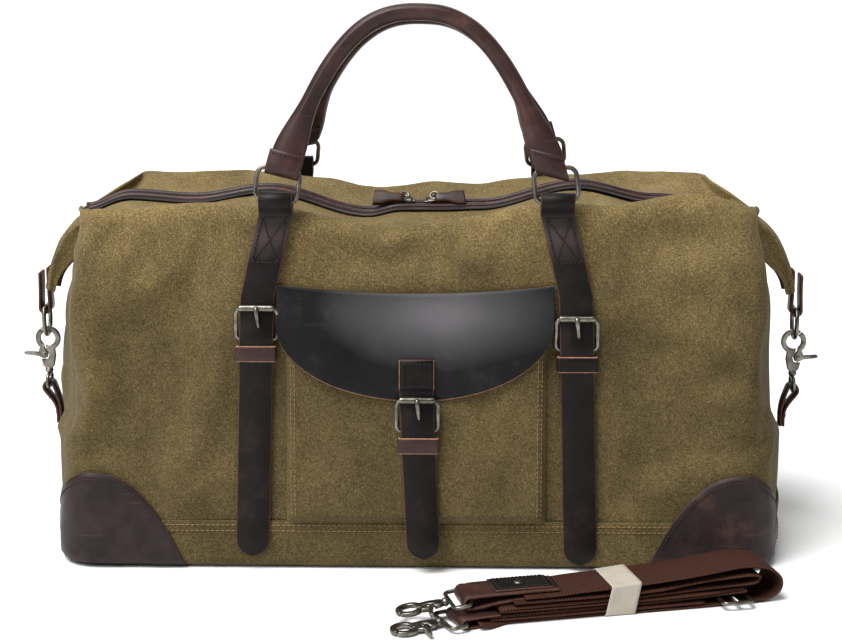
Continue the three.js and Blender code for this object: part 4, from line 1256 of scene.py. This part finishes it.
def build_zip_slider(name, side):
    def put(point):
        """Maps (along, y, up) on the slider's own slope to the bag; along points to its end."""
        x = point.x * cos(ZIP_SLOPE) - point.z * sin(ZIP_SLOPE)
        z = point.x * sin(ZIP_SLOPE) + point.z * cos(ZIP_SLOPE)
        return Vector((side * x, side * point.y, ZIP_CENTRE_HEIGHT + z))

    outline = softened([(4.4, -3.2), (13.8, -4.5), (16.2, -3), (16.2, 3), (13.8, 4.5), (4.4, 3.2), (4.2, 0),
                        (4.4, -3.2)])[:-1]
    top = placed(plate(outline, 1.3, 0.45),
                 lambda p: put(Vector((p.x, p.y, 4.1)) + put(Vector((0, 0, p.z))) - put(Vector((0, 0, 0)))))
    neck = placed(plate([(5.2, -2.4), (12, -2.4), (12, 2.4), (5.2, 2.4)], 2.2, 0.3),
                  lambda p: put(p + Vector((0, 0, 2.9))))
    angles = [radians(angle) for angle in range(0, 181, 15)]
    bridge = placed(sweep([(10.2 + 3.6 * cos(a), 0, 4.4 + 3.3 * sin(a)) for a in angles], PULL_WIRE, 8),
                    put)
    solid_object(f"zip_slider_metal_{name}", [top, neck, bridge], [NICKEL], f"zip_slider_{name}",
                 f"zip_slider_{name}")
    pin_x, pin_up = 10.2, 5.85
    ring = []
    for turn in range(0, 360, 18):
        along, across = cos(radians(turn)), sin(radians(turn))
        ring.append((pin_x + 3.0 + 3.3 * along, side * (-1.2 - 3.1 * across * cos(PULL_TILT)),
                     pin_up + 1.9 - 3.1 * across * sin(PULL_TILT)))
    solid_object(f"zip_pull_ring_{name}", [placed(sweep(ring, PULL_WIRE, closed=True), put)], [NICKEL],
                 body=f"zip_pull_{name}")
    line = [(pin_x + out, pin_up + up) for out, up in (
        (26.5, 1.4), (14, 1.9), (7, 1.7), (3.4, 1.2), (3.4, -1.0), (7, -1.3), (14, -1.1), (26.5, -0.8))]

    def tilted(x, out, up):
        """The pull lies over on its side, its face turned up and to the front."""
        up -= pin_up
        across = side * (-2.0 - x * cos(PULL_TILT) - up * sin(PULL_TILT))
        lift = 0.4 - 0.17 * (out - pin_x) - x * sin(PULL_TILT) + up * cos(PULL_TILT)
        return put(Vector((out, across, pin_up + lift)))

    ribbon(f"zip_pull_leather_{name}", line, tilted,
           lambda part: 6.2 * (0.6 + 0.4 * smooth(min(part, 1 - part) * -5 + 1.6)), 1.5, [HANDLE, EDGE],
           f"zip_pull_{name}", f"zip_pull_{name}", spacing=1.4)


# ---- ends: ears, rings, hooks, anchors
SIDE_X = 296
SIDE_RING_UP = 176
SIDE_THROAT_UP = 150
HOOK_EYE_UP = 111
EAR_LINE = [(246, 244), (253, 252), (264, 251), (276, 241), (285, 226), (292, 208), (295, 191)]
EAR_LIPS = 5
EAR_FACE = 14
EAR_COLUMNS = 2 * EAR_LIPS + EAR_FACE
HOOK_OUTLINE = (arc((0, 0), 10, 57, 238, 22) + [(-6, -14), (-4.5, -22), (-2.2, -25), (2.2, -25), (4.8, -22),
                (5.8, -17.2), (0.8, -17), (-0.6, -13), (1.6, -9), (2, -5.6)] + arc((0, 0), 5.8, 290, 57, 22))
GATE_OUTLINE = (arc((0, 0), 10, 52, -48, 12) + [(7.2, -8.2), (8, -11.2), (18.5, -10.6), (19.8, -12),
                (18.5, -13.4), (8, -14.6), (5.5, -16), (3.5, -16.6), (1, -15.7), (0, -13), (1, -10.8),
                (2.7, -8), (3.5, -4.65)] + arc((0, 0), 5.8, -53, 52, 12))
HOOK_FOOT = -28
HOOK_RING_WIRE = 1.5
D_RING_RADIUS = 11.75
D_RING_WIRE = 1.75


def build_hook(kind, suffix, put, eye, turned, body, gate_body):
    """A trigger snap hook: put maps (x, depth, up) about its throat to the bag."""
    def flat(point):
        return put(Vector((point.x, point.z, point.y)))

    barrel = sweep([(0, 0, -23.6), (0, 0, -24.4), (0, 0, -27.2), (0, 0, HOOK_FOOT)], 3.0, 14,
                   taper=lambda part: 0.75 if part in (0.0, 1.0) else 1.0)
    collar = sweep([(0, 0, -25.4), (0, 0, -26.2)], 3.4, 14)
    middle = HOOK_FOOT - eye[1] / 2 + 0.5
    line = [(0, x, middle + y) if turned else (x, 0, middle + y)
            for x, y in rounded_box_line(eye[0] / 2 - HOOK_RING_WIRE, eye[1] / 2 - HOOK_RING_WIRE, 3.6)]
    parts = [placed(plate(HOOK_OUTLINE, 3.5, 0.9), flat)]
    parts += [placed(part, put) for part in (barrel, collar, sweep(line, HOOK_RING_WIRE, 12, closed=True))]
    solid_object(f"{kind}_hook_metal_{suffix}", parts, [NICKEL], f"{kind}_hook_{suffix}", body)
    parts = [placed(plate(GATE_OUTLINE, 3.3, 0.8), flat)]
    for depth in (-1, 1):
        outward = put(Vector((0, depth, 0))) - put(Vector((0, 0, 0)))
        parts.append(rivet(put(Vector((3.5, depth * 1.6, -13))), outward, 1.9, 0.8))
    solid_object(f"{kind}_gate_metal_{suffix}", parts, [NICKEL], f"{kind}_gate_{suffix}", gate_body)


def build_ear(name, side):
    """The bag's end drawn out into a strap: a fold of canvas whose two sides turn in to the bag."""
    line = spaced(softened(EAR_LINE), 3.0)

    def at(u, v):
        place = v * (len(line) - 1)
        index = min(int(place), len(line) - 2)
        point = line[index].lerp(line[index + 1], place - index)
        ahead = line[min(index + 2, len(line) - 1)] - line[max(index - 1, 0)]
        normal = Vector((-ahead.y, ahead.x)).normalized()
        if normal.x < 0:
            normal = -normal
        column = round(u * EAR_COLUMNS)
        deep = lerp(2, 17, smooth(v * 2.2)) * lerp(1, 0.3, smooth((v - 0.45) / 0.55))
        lip = max(EAR_LIPS - column, column - EAR_LIPS - EAR_FACE)
        if lip <= 0:
            across = 2 * (column - EAR_LIPS) / EAR_FACE - 1
            inward, turn = 3.6 * abs(across) ** 3, across * abs(across) ** 4 * 0.7
        else:
            turn = -1 if column < EAR_LIPS else 1
            inward = 3.6 + deep * lip / EAR_LIPS
            across = turn * (1.0 - 0.09 * sin(pi * lip / EAR_LIPS))
        inward += noise.noise(Vector((across * 3, v * 4, side))) * 1.2
        spot = point - normal * inward
        half = 32 * lerp(1, 0.4, smooth((262 - point.y) / 71))
        facing = Vector((side * normal.x, 0, normal.y)) * (1 - abs(turn)) + Vector((0, side * turn, 0))
        return Vector((side * spot.x, side * across * half, spot.y)), facing.normalized()

    subdivide(thick_grid(f"ear_canvas_{name}", at, EAR_COLUMNS, len(line) - 1, 2.0, [CANVAS], f"ear_{name}"))
    rows = [[at(column / EAR_COLUMNS, i / 40) for i in range(3, 40)] for column in (6, 18)]
    stitches(f"ear_stitching_{name}", rows, TAN_THREAD, length=2.5, width=0.6)


def build_end(name, side):
    def put(up):
        """Maps a place in the line of rings, up from the given height, to the bag."""
        return lambda p: Vector((side * (p.x + SIDE_X), side * p.y, p.z + up))

    def strip(x, out, up):
        return Vector((side * out, side * x, up))

    build_ear(name, side)
    line = [(SIDE_X + 3.2, 204), (SIDE_X + 3.2, 190)] + arc((SIDE_X, SIDE_RING_UP), 3.9, 0, -180, 12)
    line += [(SIDE_X - 3.2, 190), (SIDE_X - 3.2, 208)]
    ribbon(f"ear_tab_leather_{name}", line, strip, 9, 2.0, [STRAP, EDGE], f"ear_tab_{name}", spacing=1.5)
    line = [(289.6, 82), (289.6, 96)] + arc((SIDE_X, HOOK_EYE_UP), 4.2, -40, 150, 12)
    line += [(287.1, 97), (287.1, 82)]
    ribbon(f"side_anchor_leather_{name}", line, strip, 6.5, 2.0, [STRAP, EDGE], f"side_anchor_{name}",
           spacing=1.5)
    heads = [rivet((side * x, 0, up), (side, 0, 0), radius, height)
             for x, up, radius, height in ((SIDE_X + 4.1, 200, 3.2, 1.5), (SIDE_X + 4.1, 191, 3.2, 1.5),
                                           (290.8, 90, 2.8, 1.3))]
    solid_object(f"end_rivets_{name}", heads, [NICKEL])
    angles = [radians(12 * i) for i in range(16)]
    bow = [(0, -D_RING_RADIUS, 0), (0, D_RING_RADIUS, 0)]
    bow += [(0, D_RING_RADIUS * cos(a), -11 - D_RING_RADIUS * sin(a)) for a in angles]
    ring = placed(sweep(bow, D_RING_WIRE, 12, closed=True), put(SIDE_RING_UP))
    solid_object(f"d_ring_metal_{name}", [ring], [NICKEL], f"d_ring_{name}", f"d_ring_{name}")
    build_hook("side", name, put(SIDE_THROAT_UP), (20, 13), True, f"side_hook_{name}", f"side_gate_{name}")


# ---- inside
LINING_LEVELS = (5.6, 30, 60, 90, 120, 150, 180, 205, 222)
LINING_INSET = 13
BOARD_UP = 4.4


def build_inside():

    def at(u, v):
        up = LINING_LEVELS[round(v * (len(LINING_LEVELS) - 1))]
        (x, y), _ = around(round(u * COLUMNS), up, LINING_INSET)
        outward = Vector((x, y, 0)).normalized()
        spot = Vector((x, y, up)) - outward * 1.5 * noise.noise(Vector((x, y, up)) * 0.02)
        return drawn_in(spot), outward

    thick_grid("lining_cloth", at, COLUMNS, len(LINING_LEVELS) - 1, 0.8, [LINING], "lining", closed=True)
    board = placed(plate(rounded_box_line(235, 90, 20, 6), 2.5, 0.6), lambda p: p + Vector((0, 0, BOARD_UP)))
    solid_object("base_board_sheet", [board], [BOARD], "base_board")


# ---- shoulder strap, folded in front
STRAP_BODY = "shoulder_strap"
BUNDLE_POSITION = Vector((45, -218, 0))
BUNDLE_TURN = Matrix.Rotation(radians(14.5), 3, "Z")
WEBBING_HALF = 19
OUTER_RUN = [(30, 17.7), (56, 17.8), (72, 19.2), (112, 20.8), (148, 23.6), (176, 27.0), (196, 28.4), (211, 26.0),
             (220, 19), (222, 12), (218, 5), (206, 1.7), (150, 1.2), (60, 1.2), (14, 1.3), (2, 2.6), (-5, 4.4)]
INNER_RUN = [(22, 14.2), (60, 14.2), (110, 14.6), (160, 18.4), (186, 21.4), (200, 21.6), (206, 19.0), (202, 15.6),
             (186, 14.4), (150, 12.6), (100, 11.5), (22, 11.5), (12, 11.2), (11, 9.4), (20, 8.8), (100, 8.8),
             (150, 9.6), (186, 11.6), (194, 11.4), (194, 9.4), (186, 9.0), (156, 7.0), (100, 6.3), (12, 6.3),
             (4, 6.0), (3, 4.1), (12, 3.7), (100, 3.7), (162, 3.8)]
UPPER_HOOK = Vector((-8, 0, 15.5))
LOWER_HOOK = Vector((-16, -10, 4.4))
LOWER_TURN = 10


def bundle_spot(x, y, z):
    return BUNDLE_TURN @ Vector((x, y, z)) + BUNDLE_POSITION


def bundle_strip(across, out, up):
    return bundle_spot(out, across, up)


def hook_place(origin, dip, turn):
    """Maps a shoulder hook's (x, depth, up) to the bag: it lies flat, its throat away from the strap."""
    lay = Matrix.Rotation(radians(turn), 3, "Z") @ Matrix.Rotation(-radians(dip), 3, "Y")
    return lambda point: bundle_spot(*(lay @ Vector((-41 - point.z, -point.x, point.y)) + origin))


def build_webbing():
    def outer(across, out, up):
        shift = -8 * smooth((20 - out) / 22) if up < 8 else 0
        return bundle_spot(out, across + shift + 0.9 * sin(out * 0.03), up)

    def inner(across, out, up):
        return bundle_spot(out, across * 0.985 + 1.4 * sin(up * 1.1 + out * 0.004), up)

    for name, line, place in (("outer", OUTER_RUN, outer), ("inner", INNER_RUN, inner)):
        smoothed = [Vector(point) for point in softened(line)]
        length = sum((b - a).length for a, b in zip(smoothed, smoothed[1:]))
        run = ribbon(f"shoulder_webbing_{name}", line, place, WEBBING_HALF, 1.9, [WEBBING],
                     "shoulder_webbing" if name == "outer" else "", STRAP_BODY, spacing=2.5, dome=0.0)


def build_shoulder_tabs():
    line = [(56, 20.6), (-4, 20.6)] + arc((-8, 15.5), 4.7, 62, 250, 12)
    line += [(-2, 11.6), (8, 14.0), (30, 15.9), (54, 15.9)]
    ribbon("shoulder_tab_leather", line, bundle_strip, 14, 2.2, [HANDLE, EDGE], "shoulder_tab", STRAP_BODY,
           spacing=2.0)
    ribbon("shoulder_tab_patch", [(10, 22.6), (20, 22.7), (34, 22.7), (52, 22.5)], bundle_strip, 12.4, 1.4,
           [FLAP, EDGE], body=STRAP_BODY, spacing=2.0)
    box = box_stitch(lambda up: 0, 23.7, 13, 49, 10.6, lambda x, out, up: bundle_spot(up, x, out))[:4]
    stitches("shoulder_tab_stitching", box, DARK_THREAD, STRAP_BODY, pitch=2.8, length=2.0, width=0.7, lift=0.1)
    stud = plate(rounded_box_line(1.0, 3.4, 0.9, 3), 0.8, 0.2)
    stud = placed(stud, lambda p: bundle_spot(30 + p.x, p.y, 25.0 + p.z))
    solid_object("shoulder_tab_stud", [rivet(bundle_spot(30, 0, 23.4), (0, 0, 1), 4.2, 1.6), stud], [NICKEL],
                 body=STRAP_BODY)
    turn = Matrix.Rotation(radians(LOWER_TURN), 3, "Z")

    def lower(across, out, up):
        return bundle_spot(*(turn @ Vector((out, across, 0)) + LOWER_HOOK + Vector((0, 0, up))))

    line = [(26, 3.0), (13.2, 3.2), (4, 3.2)] + arc((0, 0), 3.2, 90, 270, 12) + [(4, -3.2), (13.2, -3.3)]
    ribbon("shoulder_tab_lower_leather", line, lower, 14, 1.6, [HANDLE, EDGE], "shoulder_tab_lower", STRAP_BODY,
           spacing=1.6)


def build_shoulder_slider():
    frame_line = [(x, y, 0) for x, y in rounded_box_line(10.5, 23.5, 3)]
    bars = [sweep(frame_line, 1.5, closed=True), sweep([(0, -23.5, 0), (0, 23.5, 0)], 1.5)]
    bars = [placed(part, lambda p: bundle_spot(184 + p.x, p.y - 6, 5.5 + p.z)) for part in bars]
    solid_object("shoulder_slider_metal", bars, [NICKEL], "shoulder_slider", STRAP_BODY)


def build_paper_band():
    half_wide, half_high = 20.6, 11.0
    loop = rounded_box_line(half_wide, half_high, 1.6, 4)

    def at(u, v):
        y, z = loop[round(u * len(loop)) % len(loop)]
        x = lerp(90, 112, v) + z * 0.22
        height = z + 11.3
        if z > 0:
            height += (x - 101) * 0.075 + 0.2
        return bundle_spot(x, y, height), BUNDLE_TURN @ Vector((0, y / half_wide, z / half_high)).normalized()

    thick_grid("shoulder_paper_band", at, len(loop), 10, 0.4, [PAPER], body=STRAP_BODY, closed=True)


build_canvas()
build_base()
for ends, facing in (("front", -1), ("back", 1)):
    for end, side in LEFT_RIGHT:
        build_patch(f"{ends}_{end}", side, facing)
build_pocket()
build_flap()
build_straps()
build_flap_strap()
build_handle("front", 1, radians(12))
build_handle("back", -1, radians(25))
build_zip()
for end, side in LEFT_RIGHT:
    build_end(end, side)
build_inside()
build_webbing()
build_shoulder_tabs()
build_shoulder_slider()
build_paper_band()
for end, origin, dip, turn in (("a", UPPER_HOOK, 8, 0), ("b", LOWER_HOOK, 2.5, LOWER_TURN)):
    build_hook("shoulder", end, hook_place(origin, dip, turn), (36, 15), False, STRAP_BODY,
               f"shoulder_gate_{end}")


# ---- floor, light and camera
FLOOR_REACH = 14.0
CAMERA_PLACE = (0.0325, -1.520, 0.495)
CAMERA_PITCH = 12.24
CAMERA_YAW = 1.18
CAMERA_LENS = 83.94


def aim(holder, direction):
    holder.rotation_euler = Vector(direction).to_track_quat("-Z", "Y").to_euler()


def area_light(name, place, target, size, power):
    lamp = bpy.data.lights.new(name, "AREA")
    lamp.shape = "RECTANGLE"
    lamp.size, lamp.size_y = size
    lamp.energy = power
    holder = add_object(name, lamp)
    holder.location = place
    aim(holder, Vector(target) - Vector(place))


def build_stage():
    mesh = bpy.data.meshes.new("floor")
    corners = [(x * FLOOR_REACH, y * FLOOR_REACH, 0) for x, y in ((-1, -1), (1, -1), (1, 1), (-1, 1))]
    mesh.from_pydata(corners, [], [(0, 1, 2, 3)])
    floor = add_object("floor", mesh)
    paint = Shader("floor_paint", 0.55)
    paint.colour(paint.ramp(paint.noise(2, 2), [(0.3, 0.9), (0.7, 0.93)]))
    mesh.materials.append(paint.material)
    world = bpy.data.worlds.new("studio")
    world.use_nodes = True
    backdrop = world.node_tree.nodes["Background"]
    backdrop.inputs["Color"].default_value = (1, 1, 1, 1)
    backdrop.inputs["Strength"].default_value = 0.27
    bpy.context.scene.view_settings.view_transform = "Standard"
    bpy.context.scene.world = world
    sky = bpy.data.lights.new("sky", "SUN")
    sky.energy = 3.9
    sky.angle = radians(38)
    aim(add_object("sky", sky), (0.4, 0.34, -1))
    area_light("overhead", (-0.7, 0.1, 2.3), (0, 0, 0.15), (2.4, 1.2), 16)
    area_light("front_left", (-1.35, -1.5, 1.15), (-0.1, 0, 0.2), (1.1, 1.1), 9)
    area_light("behind", (0.6, 2.4, 1.6), (0, 0, 0.2), (2.2, 1.2), 20)


def build_camera():
    camera = bpy.data.cameras.new("camera")
    camera.sensor_width = 36
    camera.lens = CAMERA_LENS
    camera.clip_start, camera.clip_end = 0.05, 30
    holder = add_object("camera", camera)
    holder.location = CAMERA_PLACE
    holder.rotation_euler = (radians(90 - CAMERA_PITCH), 0, radians(CAMERA_YAW))
    bpy.context.scene.camera = holder


build_stage()
build_camera()
